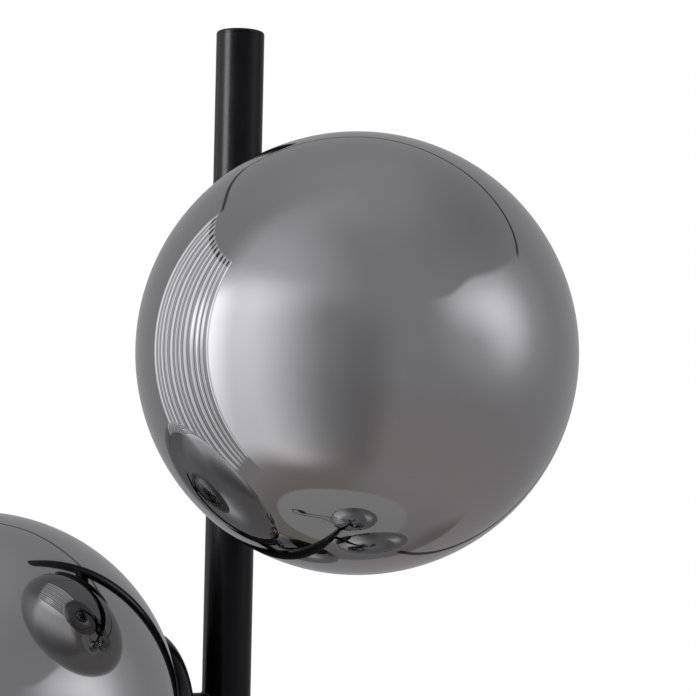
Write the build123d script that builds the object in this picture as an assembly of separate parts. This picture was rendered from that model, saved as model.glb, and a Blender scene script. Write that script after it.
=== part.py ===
from build123d import *
import os
from math import ceil, cos, pi, radians, sqrt, tan

# Floor lamp with five mirror-glass globes set in a spiral round a slim black pole.
# Millimetres, +Z up. The origin is on the floor, on the pole's axis. The front is -Y.

# ---------------------------------------------------------------- driving dimensions
LAMP_HEIGHT = 1500.0

POLE_DIAMETER = 18.5
POLE_WALL = 1.2
ARMS_ON_TOP_SECTION = 3  # the upper joint line is midway between this arm and the next
COUPLER_LENGTH = 60.0
COUPLER_WALL = 2.2
CAP_THICKNESS = 1.6
CAP_PLUG_LENGTH = 9.0
CAP_EDGE = 0.5
FOOT_INSERT_LENGTH = 24.0

GLOBE_COUNT = 5
GLOBE_DIAMETER = 150.0
GLOBE_WALL = 1.8
GLOBE_MOUTH_DIAMETER = 48.0
GLOBE_STEP = 132.0  # drop from one globe to the next
TOP_GLOBE_DROP = 128.0  # from the pole's top to the first globe's centre
GLOBE_STANDOFF = 25.0  # from the pole's axis to the nearest point of a globe
FIRST_AZIMUTH = 28.0  # degrees from the front towards the right
AZIMUTH_STEP = -90.0  # each lower globe is a quarter turn further round

HOLDER_DIAMETER = 63.0
HOLDER_DEPTH = 13.2
HOLDER_WALL = 1.4
ARM_DIAMETER = 15.0
ARM_BORE = 6.0
NIPPLE_DIAMETER = 10.0
NUT_ACROSS_FLATS = 14.0
NUT_THICKNESS = 3.0
BOSS_DIAMETER = 40.0  # threaded boss inside the holder, which the globe screws onto
BOSS_WALL = 3.0
COLLAR_LENGTH = 10.0
COLLAR_LIP = 1.2

SOCKET_DIAMETER = 22.0
SOCKET_LENGTH = 20.0
SOCKET_FLANGE = 3.0
BULB_DIAMETER = 16.0
BULB_LENGTH = 46.0
BULB_BASE_LENGTH = 9.0
BULB_PIN_DIAMETER = 1.6
BULB_PIN_LENGTH = 7.0
BULB_PIN_SPACING = 9.0

BASE_DIAMETER = 250.0
BASE_EDGE_HEIGHT = 19.0
BASE_RISE = 3.0  # how much higher the cover is at the pole than at its edge
BASE_EDGE_RADIUS = 4.0
COVER_WALL = 1.2
PAD_THICKNESS = 2.0
TIE_BORE = 6.6
RECESS_TOP = 14.5  # how high the recess for the nut reaches under the weight
WASHER_DIAMETER = 30.0
WASHER_THICKNESS = 1.6
BASE_NUT_FLATS = 17.0
BASE_NUT_THICKNESS = 4.5
FOOT_COLLAR_DIAMETER = 30.0
FOOT_COLLAR_HEIGHT = 9.0
FOOT_COLLAR_EDGE = 3.0
LEAD_CHANNEL = 8.0  # width of the channel under the weight for the inner lead

LEAD_DIAMETER = 4.4  # inner lead in the pole and base
LEAD_HEIGHT = 5.0  # the inner lead's height in its channel
LEAD_BEND = 5.0
BRANCH_DIAMETER = 3.4  # inner lead in each arm

CORD_DIAMETER = 5.5
CORD_LIFT = 0.05  # the cord lies just clear of the floor
CORD_EXIT_HEIGHT = 9.0
BUSHING_FLANGE_DIAMETER = 13.0
BUSHING_FLANGE = 2.0
BUSHING_INSIDE = 20.0  # how far the bushing's body reaches in from the base's edge
RELIEF_ROOT_DIAMETER = 10.0
RELIEF_TIP_DIAMETER = 7.2
RELIEF_LENGTH = 28.0

SWITCH_X = -405.0
SWITCH_Y = 34.0
SWITCH_LENGTH = 66.0
SWITCH_WIDTH = 44.0
SWITCH_HEIGHT = 22.0
SWITCH_SPLIT = 10.0
SWITCH_WALL = 2.0
SWITCH_CROWN = 6.0  # radius of the upper shell's edge
SWITCH_SOLE = 1.5  # radius of the lower shell's edge
SWITCH_SLEEVE_DIAMETER = 9.0
SWITCH_SLEEVE_LENGTH = 6.0
SWITCH_CORD_HEIGHT = 6.0
BUTTON_DIAMETER = 27.0
BUTTON_STANDS_OUT = 4.0
BUTTON_TRAVEL = 3.0
BUTTON_SKIRT = 7.0
BUTTON_RIM = 1.6
BUTTON_EDGE = 2.5
BUTTON_WALL = 2.0
BUTTON_CROWN = 3.0  # thickness of the button's top, before the dish
BUTTON_DISH_RADIUS = 60.0
BUTTON_DISH_DEPTH = 1.2
BLOCK_SIZE = 20.0
SCREW_DIAMETER = 3.0
SCREW_HEAD_DIAMETER = 5.4
SCREW_SPACING = 48.0

COIL_X = 112.0
COIL_TOP_Y = 172.0
COIL_OUTER_RADIUS = 39.0
COIL_GAP = 0.5  # clear space between turns, sideways and between the two layers
COIL_TURNS_IN = 4  # half turns that spiral in before the climb
TIE_WIDTH = 6.0
TIE_THICKNESS = 0.9

PLUG_LENGTH = 36.0
PLUG_WIDTH = 35.0
PLUG_THICKNESS = 13.7
PLUG_WAIST = 25.0
PLUG_EDGE = 3.0
PLUG_SLEEVE_LENGTH = 22.0
PLUG_LEAD_LENGTH = 46.0
PLUG_PIN_DIAMETER = 4.0
PLUG_PIN_LENGTH = 19.0
PLUG_PIN_SPACING = 18.6

# named clearances
FIT = 0.05  # turned and threaded fits, per side
SEAT = 0.1  # between a seated piece and its seat
LOOSE = 0.3  # between parts that are only laid together, and round the moving button

# ---------------------------------------------------------------- sizes that follow
pole_r = POLE_DIAMETER / 2
pole_bore_r = pole_r - POLE_WALL
globe_r = GLOBE_DIAMETER / 2
globe_reach = globe_r + GLOBE_STANDOFF  # from the pole's axis to a globe's centre
mouth_r = GLOBE_MOUTH_DIAMETER / 2
base_r = BASE_DIAMETER / 2
cord_r = CORD_DIAMETER / 2
cord_z = cord_r + CORD_LIFT
pole_bottom = BASE_EDGE_HEIGHT + BASE_RISE + SEAT


def globe_height(index):
    return LAMP_HEIGHT - TOP_GLOBE_DROP - GLOBE_STEP * index


pole_joint_high = globe_height(ARMS_ON_TOP_SECTION - 0.5)
pole_joint_low = (pole_bottom + pole_joint_high) / 2  # the two lower sections are as long


def along_arm(index):
    """Places a piece that is modelled along +Z from the pole's axis on one of the arms."""
    turn = FIRST_AZIMUTH - 90 + AZIMUTH_STEP * index
    return Pos(0, 0, globe_height(index)) * Rot(0, 0, turn) * Rot(0, 90, 0)


def rod(diameter, low, high):
    return Pos(0, 0, low) * Cylinder(
        diameter / 2, high - low, align=(Align.CENTER, Align.CENTER, Align.MIN)
    )


def tube(outer, inner, low, high):
    return rod(outer, low, high) - rod(inner, low - 1, high + 1)


def turned(points):
    """A solid of revolution about Z from (radius, height) points of its closed outline."""
    outline = Polyline(*[(r, 0, z) for r, z in points], close=True)
    return revolve(make_face(outline), Axis.Z)


def nut(across_flats, bore, low, thickness):
    blank = extrude(RegularPolygon(across_flats / 2, 6, major_radius=False), thickness)
    return Pos(0, 0, low) * (blank - rod(bore, -1, thickness + 1))


# ---------------------------------------------------------------- pole
def pole_section(low, high, arm_indexes):
    section = tube(POLE_DIAMETER, 2 * pole_bore_r, low, high)
    for index in arm_indexes:
        section -= along_arm(index) * rod(NIPPLE_DIAMETER + 2 * FIT, 0, pole_r + 1)
    return section


def coupler(joint_height):
    outer = 2 * (pole_bore_r - FIT)
    half = COUPLER_LENGTH / 2
    piece = tube(outer, outer - 2 * COUPLER_WALL, joint_height - half, joint_height + half)
    # a shallow groove marks the stop where the two sections meet
    return piece - tube(outer + 1, outer - 0.6, joint_height - 0.4, joint_height + 0.4)


def pole_cap():
    disc = rod(POLE_DIAMETER, LAMP_HEIGHT - CAP_THICKNESS, LAMP_HEIGHT)
    disc = fillet(disc.edges().sort_by(Axis.Z)[-1], CAP_EDGE)
    low = LAMP_HEIGHT - CAP_THICKNESS - CAP_PLUG_LENGTH
    plug = tube(2 * (pole_bore_r - FIT), 2 * (pole_bore_r - FIT) - 4, low, LAMP_HEIGHT - CAP_THICKNESS)
    return disc + plug


def foot_insert():
    outer = 2 * (pole_bore_r - FIT)
    return tube(outer, NIPPLE_DIAMETER + 2 * FIT, pole_bottom, pole_bottom + FOOT_INSERT_LENGTH)


# ---------------------------------------------------------------- base
weight_low = PAD_THICKNESS + SEAT
nut_low = RECESS_TOP - FIT - WASHER_THICKNESS - FIT - BASE_NUT_THICKNESS


def cover_top(radius):
    """Height of the cover's outside at a radius, on its low cone."""
    return BASE_EDGE_HEIGHT + BASE_RISE * (1 - radius / base_r)


def base_cover():
    inner_r = base_r - COVER_WALL
    shell = turned(
        [
            (NIPPLE_DIAMETER / 2 + FIT, cover_top(0) - COVER_WALL),
            (NIPPLE_DIAMETER / 2 + FIT, cover_top(0)),
            (base_r, BASE_EDGE_HEIGHT),
            (base_r, PAD_THICKNESS / 2),
            (inner_r, PAD_THICKNESS / 2),
            (inner_r, BASE_EDGE_HEIGHT - COVER_WALL),
        ]
    )
    rim = shell.edges().filter_by(GeomType.CIRCLE).filter_by(
        lambda e: abs(e.radius - base_r) < 0.01 and e.center().Z > PAD_THICKNESS
    )
    shell = fillet(rim, BASE_EDGE_RADIUS)
    hole = Pos(-base_r, 0, CORD_EXIT_HEIGHT) * Rot(0, 90, 0) * Cylinder(
        RELIEF_ROOT_DIAMETER / 2 + SEAT, 4 * COVER_WALL + 8
    )
    return shell - hole


def base_weight():
    """Cast disc that fills the cover, with a recess for the nut and a channel for the lead."""
    outer_r = base_r - COVER_WALL - BASE_EDGE_RADIUS
    bore_r = NIPPLE_DIAMETER / 2 + FIT
    under = COVER_WALL + SEAT
    disc = turned(
        [
            (bore_r, weight_low),
            (outer_r, weight_low),
            (outer_r, cover_top(outer_r) - under - 1.5),
            (outer_r - 1.5, cover_top(outer_r - 1.5) - under),
            (bore_r, cover_top(bore_r) - under),
        ]
    )
    disc -= rod(WASHER_DIAMETER + 2, weight_low - 1, RECESS_TOP)
    channel_top = CORD_EXIT_HEIGHT + LEAD_DIAMETER / 2 + 1
    disc -= Pos(-base_r, 0, 0) * Box(
        base_r, LEAD_CHANNEL, channel_top, align=(Align.MIN, Align.CENTER, Align.MIN)
    )
    return disc - Pos(-base_r, 0, 0) * Box(
        BUSHING_INSIDE + 2,
        BUSHING_FLANGE_DIAMETER + 1,
        2 * BASE_EDGE_HEIGHT,
        align=(Align.MIN, Align.CENTER, Align.MIN),
    )


def base_pad():
    return rod(2 * (base_r - COVER_WALL - SEAT - 1), 0, PAD_THICKNESS)


def foot_collar():
    low = cover_top(0) + SEAT
    outer = FOOT_COLLAR_DIAMETER
    ring = tube(outer, POLE_DIAMETER + 2 * SEAT, low, low + FOOT_COLLAR_HEIGHT)
    edge = ring.edges().filter_by(GeomType.CIRCLE).group_by(Axis.Z)[-1].sort_by(SortBy.RADIUS)[-1]
    return fillet(edge, FOOT_COLLAR_EDGE)


def tie_tube():
    return tube(NIPPLE_DIAMETER, TIE_BORE, nut_low - 0.4, pole_bottom + FOOT_INSERT_LENGTH - 4)


def base_fixings():
    bore = NIPPLE_DIAMETER + 2 * FIT
    washer = tube(WASHER_DIAMETER, bore, RECESS_TOP - FIT - WASHER_THICKNESS, RECESS_TOP - FIT)
    return Compound([washer, nut(BASE_NUT_FLATS, bore, nut_low, BASE_NUT_THICKNESS)])


# ---------------------------------------------------------------- one globe and its fitting
# Heights in this block run outwards from the pole's axis, along the arm.
rim_at = globe_reach - sqrt(globe_r**2 - (HOLDER_DIAMETER / 2) ** 2)
holder_back = rim_at - HOLDER_DEPTH  # the back of the dome, which the arm meets
holder_floor = holder_back + HOLDER_WALL
mouth_at = globe_reach - sqrt(globe_r**2 - mouth_r**2)
boss_end = mouth_at + COLLAR_LENGTH
socket_from = holder_floor + NUT_THICKNESS + 2 * SEAT


def dome(radius, depth, rim):
    """A half ellipsoid of revolution whose open side is at the rim."""
    curve = EllipticalCenterArc((0, 0), radius, depth, start_angle=270, arc_size=90)
    side = make_face([curve, Line((0, -depth), (0, 0)), Line((0, 0), (radius, 0))])
    return Pos(0, 0, rim) * revolve(Plane.XZ * side, Axis.Z)


def globe_ball(radius):
    return Pos(0, 0, globe_reach) * Sphere(radius)


def arm():
    body = rod(ARM_DIAMETER, 0, holder_back + 0.5)
    body -= Rot(0, 90, 0) * Cylinder(pole_r + FIT, 2 * ARM_DIAMETER)
    body -= dome(HOLDER_DIAMETER / 2 + FIT, HOLDER_DEPTH + FIT, rim_at)
    nipple_low = sqrt(pole_bore_r**2 - (NIPPLE_DIAMETER / 2) ** 2) + 0.5
    body += rod(NIPPLE_DIAMETER, nipple_low, holder_floor + NUT_THICKNESS + SEAT)
    return body - rod(ARM_BORE, 0, globe_reach)


def holder():
    shell = dome(HOLDER_DIAMETER / 2, HOLDER_DEPTH, rim_at)
    shell -= dome(HOLDER_DIAMETER / 2 - HOLDER_WALL, HOLDER_DEPTH - HOLDER_WALL, rim_at)
    shell -= globe_ball(globe_r + SEAT)
    shell += tube(BOSS_DIAMETER, BOSS_DIAMETER - 2 * BOSS_WALL, holder_floor, boss_end) - (
        rod(2 * HOLDER_DIAMETER, 0, holder_floor)
    )
    boss_foot = dome(HOLDER_DIAMETER / 2 - FIT, HOLDER_DEPTH - FIT, rim_at)
    shell += boss_foot & tube(BOSS_DIAMETER, BOSS_DIAMETER - 2 * BOSS_WALL, 0, rim_at)
    nut_seat = NUT_ACROSS_FLATS / cos(radians(30)) + 1
    shell -= rod(nut_seat, holder_floor, rim_at)
    return shell - rod(NIPPLE_DIAMETER + 2 * FIT, 0, globe_reach)


def screw_collar():
    bore = BOSS_DIAMETER + 2 * FIT
    outer = 2 * (mouth_r - SEAT)
    low = mouth_at - COLLAR_LIP
    ring = tube(outer, bore, low, boss_end - 1)
    lip = tube(outer + 2 * COLLAR_LIP, bore, low - COLLAR_LIP, low + 0.01) - globe_ball(globe_r + SEAT)
    return ring + lip


def socket():
    body = rod(SOCKET_DIAMETER, socket_from, socket_from + SOCKET_LENGTH)
    flange = rod(BOSS_DIAMETER - 2 * BOSS_WALL - 2 * SEAT, socket_from, socket_from + SOCKET_FLANGE)
    body += flange
    top = socket_from + SOCKET_LENGTH
    for side in (-1, 1):
        body -= Pos(side * BULB_PIN_SPACING / 2, 0, 0) * rod(
            BULB_PIN_DIAMETER + 2 * SEAT, top - BULB_PIN_LENGTH - 1, top + 1
        )
    return body - rod(BRANCH_DIAMETER + 2 * SEAT, socket_from - 1, socket_from + 6)


def bulb():
    low = socket_from + SOCKET_LENGTH + SEAT
    r = BULB_DIAMETER / 2
    base = Pos(0, 0, low) * Box(
        BULB_PIN_SPACING + 6, 9, BULB_BASE_LENGTH, align=(Align.CENTER, Align.CENTER, Align.MIN)
    )
    base = fillet(base.edges().filter_by(Axis.Z), 2)
    body = rod(BULB_DIAMETER, low + BULB_BASE_LENGTH - 0.5, low + BULB_LENGTH - r)
    body += Pos(0, 0, low + BULB_LENGTH - r) * Sphere(r)
    body += base
    for side in (-1, 1):
        body += Pos(side * BULB_PIN_SPACING / 2, 0, 0) * rod(
            BULB_PIN_DIAMETER, low - BULB_PIN_LENGTH, low + 1
        )
    return body


def globe():
    ball = globe_ball(globe_r) - globe_ball(globe_r - GLOBE_WALL)
    return ball - rod(GLOBE_MOUTH_DIAMETER, 0, globe_reach)


def arm_nut():
    return nut(NUT_ACROSS_FLATS, NIPPLE_DIAMETER + 2 * FIT, holder_floor + FIT, NUT_THICKNESS)


# ---------------------------------------------------------------- wiring inside
def wiring():
    """One lead from the bushing along the base's channel, up the pole and into each arm."""
    start_x = -base_r + BUSHING_INSIDE
    path = FilletPolyline(
        (start_x, 0, CORD_EXIT_HEIGHT),
        (start_x + 12, 0, CORD_EXIT_HEIGHT),
        (start_x + 28, 0, LEAD_HEIGHT),
        (0, 0, LEAD_HEIGHT),
        (0, 0, globe_height(0)),
        radius=LEAD_BEND,
    )
    start = Plane(origin=(start_x, 0, CORD_EXIT_HEIGHT), z_dir=(1, 0, 0))
    lead = sweep(start * Circle(LEAD_DIAMETER / 2), path)
    for index in range(GLOBE_COUNT):
        lead += along_arm(index) * rod(BRANCH_DIAMETER, 0, socket_from + 5)
    return lead


# ---------------------------------------------------------------- cord, foot switch and plug
def corner_radii(points):
    """Each corner's arc is 0.45 of the shorter run beside it over the tangent of half its turn."""
    radii = []
    for before, at, after in zip(points, points[1:], points[2:]):
        one = Vector(*at) - Vector(*before)
        two = Vector(*after) - Vector(*at)
        half = radians(one.get_angle(two)) / 2
        radii.append(0.45 * min(one.length, two.length) / tan(half))
    return radii


def laid_cord(name, points):
    radii = corner_radii(points)
    path = FilletPolyline(*points, radius=radii)
    direction = Vector(*points[1]) - Vector(*points[0])
    section = Plane(origin=points[0], z_dir=direction) * Circle(cord_r)
    solid = sweep(section, path)
    share = solid.volume / (pi * cord_r**2 * path.length)
    print(f"{name}: length {path.length:.0f}, least radius {min(radii):.0f}, volume share {share:.4f}")
    return solid


relief_tip_x = -base_r - RELIEF_LENGTH
switch_right = SWITCH_X + SWITCH_LENGTH / 2 + SWITCH_SLEEVE_LENGTH
switch_left = SWITCH_X - SWITCH_LENGTH / 2 - SWITCH_SLEEVE_LENGTH
coil_pitch = CORD_DIAMETER + COIL_GAP
coil_z = cord_r + TIE_THICKNESS + 2 * CORD_LIFT  # the tie's strap lies under the lower turns
coil_start = (COIL_X - CORD_DIAMETER, COIL_TOP_Y, coil_z)
coil_end = (COIL_X + COIL_OUTER_RADIUS, COIL_TOP_Y - COIL_OUTER_RADIUS - CORD_DIAMETER)
plug_z = PLUG_THICKNESS / 2 + CORD_LIFT

# out of the base to the left, along the floor, into the foot switch
OUT_ROUTE = [
    (relief_tip_x, 0, CORD_EXIT_HEIGHT),
    (-182, 0, CORD_EXIT_HEIGHT),
    (-216, 3, 3.4),
    (-256, 11, cord_z),
    (-296, 22, cord_z),
    (-326, 31, 3.6),
    (-348, SWITCH_Y, SWITCH_CORD_HEIGHT),
    (switch_right, SWITCH_Y, SWITCH_CORD_HEIGHT),
]
# out of the switch, round in a half turn, back beside itself and behind the base to the coil
BACK_ROUTE = [
    (switch_left, SWITCH_Y, SWITCH_CORD_HEIGHT),
    (-471, SWITCH_Y, SWITCH_CORD_HEIGHT),
    (-490, 54, 4.0),
    (-490, 82, cord_z),
    (-470, 102, cord_z),
    (-426, 99, cord_z),
    (-370, 82, cord_z),
    (-312, 61, cord_z),
    (-254, 47, cord_z),
    (-200, 48, cord_z),
    (-154, 72, cord_z),
    (-112, 112, cord_z),
    (-60, 146, cord_z),
    (0, 165, cord_z),
    (58, COIL_TOP_Y, coil_z),
    coil_start,
]


def base_bushing():
    """Moulded bushing in the cover's wall, with a ribbed, tapering relief outside."""
    inside = base_r - BUSHING_INSIDE
    steps = 5
    outline = [(0, inside), (BUSHING_FLANGE_DIAMETER / 2, inside)]
    outline += [(BUSHING_FLANGE_DIAMETER / 2, base_r - COVER_WALL - SEAT - 3)]
    outline += [(RELIEF_ROOT_DIAMETER / 2, base_r - COVER_WALL - SEAT - 3)]
    outline += [(RELIEF_ROOT_DIAMETER / 2, base_r + SEAT)]
    outline += [(BUSHING_FLANGE_DIAMETER / 2, base_r + SEAT)]
    outline += [(BUSHING_FLANGE_DIAMETER / 2, base_r + SEAT + BUSHING_FLANGE)]
    first = base_r + SEAT + BUSHING_FLANGE
    pitch = (base_r + RELIEF_LENGTH - first) / steps
    for k in range(steps):
        share = k / (steps - 1)
        r = RELIEF_ROOT_DIAMETER / 2 * (1 - share) + RELIEF_TIP_DIAMETER / 2 * share
        outline += [(r, first + k * pitch), (r, first + (k + 0.6) * pitch)]
        outline += [(r - 0.7, first + (k + 0.6) * pitch), (r - 0.7, first + (k + 1) * pitch)]
    outline += [(0, base_r + RELIEF_LENGTH)]
    body = turned(outline)
    return Pos(0, 0, CORD_EXIT_HEIGHT) * Rot(0, -90, 0) * body


def oval(length, width, low, high):
    return Pos(SWITCH_X, SWITCH_Y, low) * extrude(Ellipse(length / 2, width / 2), high - low)


def switch_lower():
    body = oval(SWITCH_LENGTH, SWITCH_WIDTH, 0, SWITCH_SPLIT)
    body = fillet(body.edges().group_by(Axis.Z)[0], SWITCH_SOLE)
    sleeve = Pos(SWITCH_X, SWITCH_Y, SWITCH_CORD_HEIGHT) * Rot(0, 90, 0) * Cylinder(
        SWITCH_SLEEVE_DIAMETER / 2, SWITCH_LENGTH + 2 * SWITCH_SLEEVE_LENGTH
    )
    body += sleeve & (Pos(SWITCH_X, SWITCH_Y, 0) * Box(
        400, 400, SWITCH_SPLIT, align=(Align.CENTER, Align.CENTER, Align.MIN)))
    inner = 2 * SWITCH_WALL
    body -= oval(SWITCH_LENGTH - inner, SWITCH_WIDTH - inner, SWITCH_WALL, SWITCH_SPLIT + 1)
    for side in (-1, 1):
        body += Pos(SWITCH_X + side * SCREW_SPACING / 2, SWITCH_Y) * rod(
            SCREW_DIAMETER + 4, SWITCH_WALL - 0.2, SWITCH_SPLIT
        )
        body -= Pos(SWITCH_X + side * SCREW_SPACING / 2, SWITCH_Y) * (
            rod(SCREW_DIAMETER + 2 * SEAT, -1, SWITCH_SPLIT + 1)
            + rod(SCREW_HEAD_DIAMETER + 2 * SEAT, -1, SWITCH_WALL)
        )
    return body


def switch_upper():
    low = SWITCH_SPLIT + FIT
    body = oval(SWITCH_LENGTH, SWITCH_WIDTH, low, SWITCH_HEIGHT)
    body = fillet(body.edges().group_by(Axis.Z)[-1], SWITCH_CROWN)
    inner = 2 * SWITCH_WALL
    hollow = oval(SWITCH_LENGTH - inner, SWITCH_WIDTH - inner, low - 1, SWITCH_HEIGHT - SWITCH_WALL)
    hollow = fillet(hollow.edges().group_by(Axis.Z)[-1], SWITCH_CROWN - SWITCH_WALL)
    body -= hollow
    for side in (-1, 1):
        post = Pos(SWITCH_X + side * SCREW_SPACING / 2, SWITCH_Y) * rod(
            SCREW_DIAMETER + 4, low, SWITCH_HEIGHT - SWITCH_WALL / 2
        )
        body += post & oval(SWITCH_LENGTH - 2, SWITCH_WIDTH - 2, low, SWITCH_HEIGHT - SWITCH_WALL / 2)
        body -= Pos(SWITCH_X + side * SCREW_SPACING / 2, SWITCH_Y) * rod(
            SCREW_DIAMETER - 0.6, low - 1, SWITCH_HEIGHT - SWITCH_WALL - 2
        )
    return body - Pos(SWITCH_X, SWITCH_Y) * rod(BUTTON_DIAMETER + 2 * LOOSE, low, SWITCH_HEIGHT + 1)


def switch_button():
    top = SWITCH_HEIGHT + BUTTON_STANDS_OUT
    skirt_low = SWITCH_HEIGHT - BUTTON_SKIRT
    body = rod(BUTTON_DIAMETER, skirt_low, top)
    body = fillet(body.edges().group_by(Axis.Z)[-1], BUTTON_EDGE)
    flange = rod(BUTTON_DIAMETER + 2 * BUTTON_RIM, skirt_low - BUTTON_RIM, skirt_low)
    body += flange
    body -= rod(BUTTON_DIAMETER - 2 * BUTTON_WALL, skirt_low - BUTTON_RIM - 1, top - BUTTON_CROWN)
    # a shallow dish for the toe
    body -= Pos(0, 0, top + BUTTON_DISH_RADIUS - BUTTON_DISH_DEPTH) * Sphere(BUTTON_DISH_RADIUS)
    return Pos(SWITCH_X, SWITCH_Y) * body


def switch_block():
    high = SWITCH_HEIGHT - BUTTON_SKIRT - BUTTON_RIM - BUTTON_TRAVEL - 2.2
    low = SWITCH_WALL + SEAT
    return Pos(SWITCH_X, SWITCH_Y, low) * Box(
        BLOCK_SIZE, BLOCK_SIZE, high - low, align=(Align.CENTER, Align.CENTER, Align.MIN)
    )


def switch_screws():
    screws = []
    for side in (-1, 1):
        place = Pos(SWITCH_X + side * SCREW_SPACING / 2, SWITCH_Y)
        head = rod(SCREW_HEAD_DIAMETER, 0.4, SWITCH_WALL - SEAT)
        screws.append(place * (head + rod(SCREW_DIAMETER - 0.8, 0.4, SWITCH_SPLIT + 5)))
    return Compound(screws)


def coil_path():
    """Half turns that spiral in on the floor, climb in one, and spiral out again on top."""
    step = coil_pitch / 2
    inwards = [COIL_OUTER_RADIUS - step * k for k in range(COIL_TURNS_IN)]
    climb = inwards[-1] - step
    outwards = inwards[:0:-1]
    y, z, down = COIL_TOP_Y, coil_z, True
    edges = [Line(coil_start, (COIL_X, y, z))]
    for r in [*inwards, climb, *outwards]:
        rise = coil_pitch if r == climb else 0
        sign = -1 if down else 1
        swing = sqrt(r**2 + (rise / 2) ** 2)
        reach = swing if down else -swing
        middle = (COIL_X + reach, y + sign * r, z + rise / 2)
        edges.append(ThreePointArc((COIL_X, y, z), middle, (COIL_X, y + sign * 2 * r, z + rise)))
        y, z, down = y + sign * 2 * r, z + rise, not down
    r = COIL_OUTER_RADIUS
    slant = r / sqrt(2)
    edges.append(
        ThreePointArc((COIL_X, y, z), (COIL_X + slant, y - r + slant, z), (COIL_X + r, y - r, z))
    )
    edges.append(Line((COIL_X + r, y - r, z), (COIL_X + r, y - r - CORD_DIAMETER, z)))
    return edges


def cord_coil():
    edges = coil_path()
    path = Wire(edges)
    section = Plane(origin=coil_start, z_dir=(1, 0, 0)) * Circle(cord_r)
    solid = sweep(section, path)
    points = [path @ (k / 1200) for k in range(1201)]
    spacing = path.length / 1200
    skip = ceil(2.5 * CORD_DIAMETER / spacing)
    least = min(
        (a - b).length
        for i, a in enumerate(points)
        for b in points[i + skip :: 2]
        if abs(a.X - b.X) < 8 and abs(a.Y - b.Y) < 8
    )
    share = solid.volume / (pi * cord_r**2 * path.length)
    print(f"coil: length {path.length:.0f}, least gap {least - CORD_DIAMETER:.2f}, volume share {share:.4f}")
    return solid


def coil_tie():
    """A flat strap round the coil's turns, on the side that faces away from the plug."""
    outer_turn = COIL_OUTER_RADIUS - coil_pitch / 2
    inner_turn = outer_turn - coil_pitch * (COIL_TURNS_IN // 2 - 1)
    off_centre = coil_pitch / 2 + TIE_WIDTH / 2
    far = outer_turn + cord_r + SEAT
    near = sqrt(inner_turn**2 - off_centre**2) - cord_r - SEAT
    wide = far - near
    low = coil_z - cord_r - SEAT / 2
    high = 2 * CORD_DIAMETER + COIL_GAP + SEAT
    outer = RectangleRounded(wide + 2 * TIE_THICKNESS, high + 2 * TIE_THICKNESS, 1.6)
    ring = extrude(Plane.XZ * (outer - RectangleRounded(wide, high, 0.8)), TIE_WIDTH / 2, both=True)
    centre_x = COIL_X - (far + near) / 2
    return Pos(centre_x, COIL_TOP_Y - COIL_OUTER_RADIUS, low + high / 2) * ring


plug_back = coil_end[1] - PLUG_LEAD_LENGTH
plug_body_back = plug_back - PLUG_SLEEVE_LENGTH
plug_face = plug_body_back - PLUG_LENGTH
LEAD_ROUTE = [
    (coil_end[0], coil_end[1], coil_z + coil_pitch),
    (coil_end[0], coil_end[1] - 0.34 * PLUG_LEAD_LENGTH, coil_z + coil_pitch),
    (coil_end[0], coil_end[1] - 0.67 * PLUG_LEAD_LENGTH, plug_z),
    (coil_end[0], plug_back, plug_z),
]


def plug_body():
    """Flat two-pin plug with a waisted body and a tapering sleeve."""
    half, waist = PLUG_WIDTH / 2, PLUG_WAIST / 2
    outline = Polyline(
        (-half, 0),
        (half, 0),
        (half, 0.42 * PLUG_LENGTH),
        (waist, 0.72 * PLUG_LENGTH),
        (waist - 3, PLUG_LENGTH),
        (3 - waist, PLUG_LENGTH),
        (-waist, 0.72 * PLUG_LENGTH),
        (-half, 0.42 * PLUG_LENGTH),
        close=True,
    )
    body = extrude(make_face(outline), PLUG_THICKNESS / 2, both=True)
    body = fillet(body.edges().filter_by(Axis.Z), PLUG_EDGE)
    body = chamfer(body.faces().sort_by(Axis.Z)[-1].edges() + body.faces().sort_by(Axis.Z)[0].edges(), 1.0)
    sleeve = turned(
        [
            (0, PLUG_LENGTH - 1),
            (RELIEF_ROOT_DIAMETER / 2, PLUG_LENGTH - 1),
            (RELIEF_TIP_DIAMETER / 2 - 0.3, PLUG_LENGTH + PLUG_SLEEVE_LENGTH),
            (0, PLUG_LENGTH + PLUG_SLEEVE_LENGTH),
        ]
    )
    body += Rot(-90, 0, 0) * sleeve
    return Pos(coil_end[0], plug_face, plug_z) * body


def plug_pins():
    pins = []
    for side in (-1, 1):
        pin = rod(PLUG_PIN_DIAMETER, 0, PLUG_PIN_LENGTH)
        pin = fillet(pin.edges().group_by(Axis.Z)[-1], PLUG_PIN_DIAMETER / 2 - 0.6)
        pins.append(Pos(coil_end[0] + side * PLUG_PIN_SPACING / 2, plug_face, plug_z) * Rot(90, 0, 0) * pin)
    return Compound(pins)


# ---------------------------------------------------------------- every node
def arms_between(low, high):
    return [i for i in range(GLOBE_COUNT) if low < globe_height(i) < high]


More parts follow.
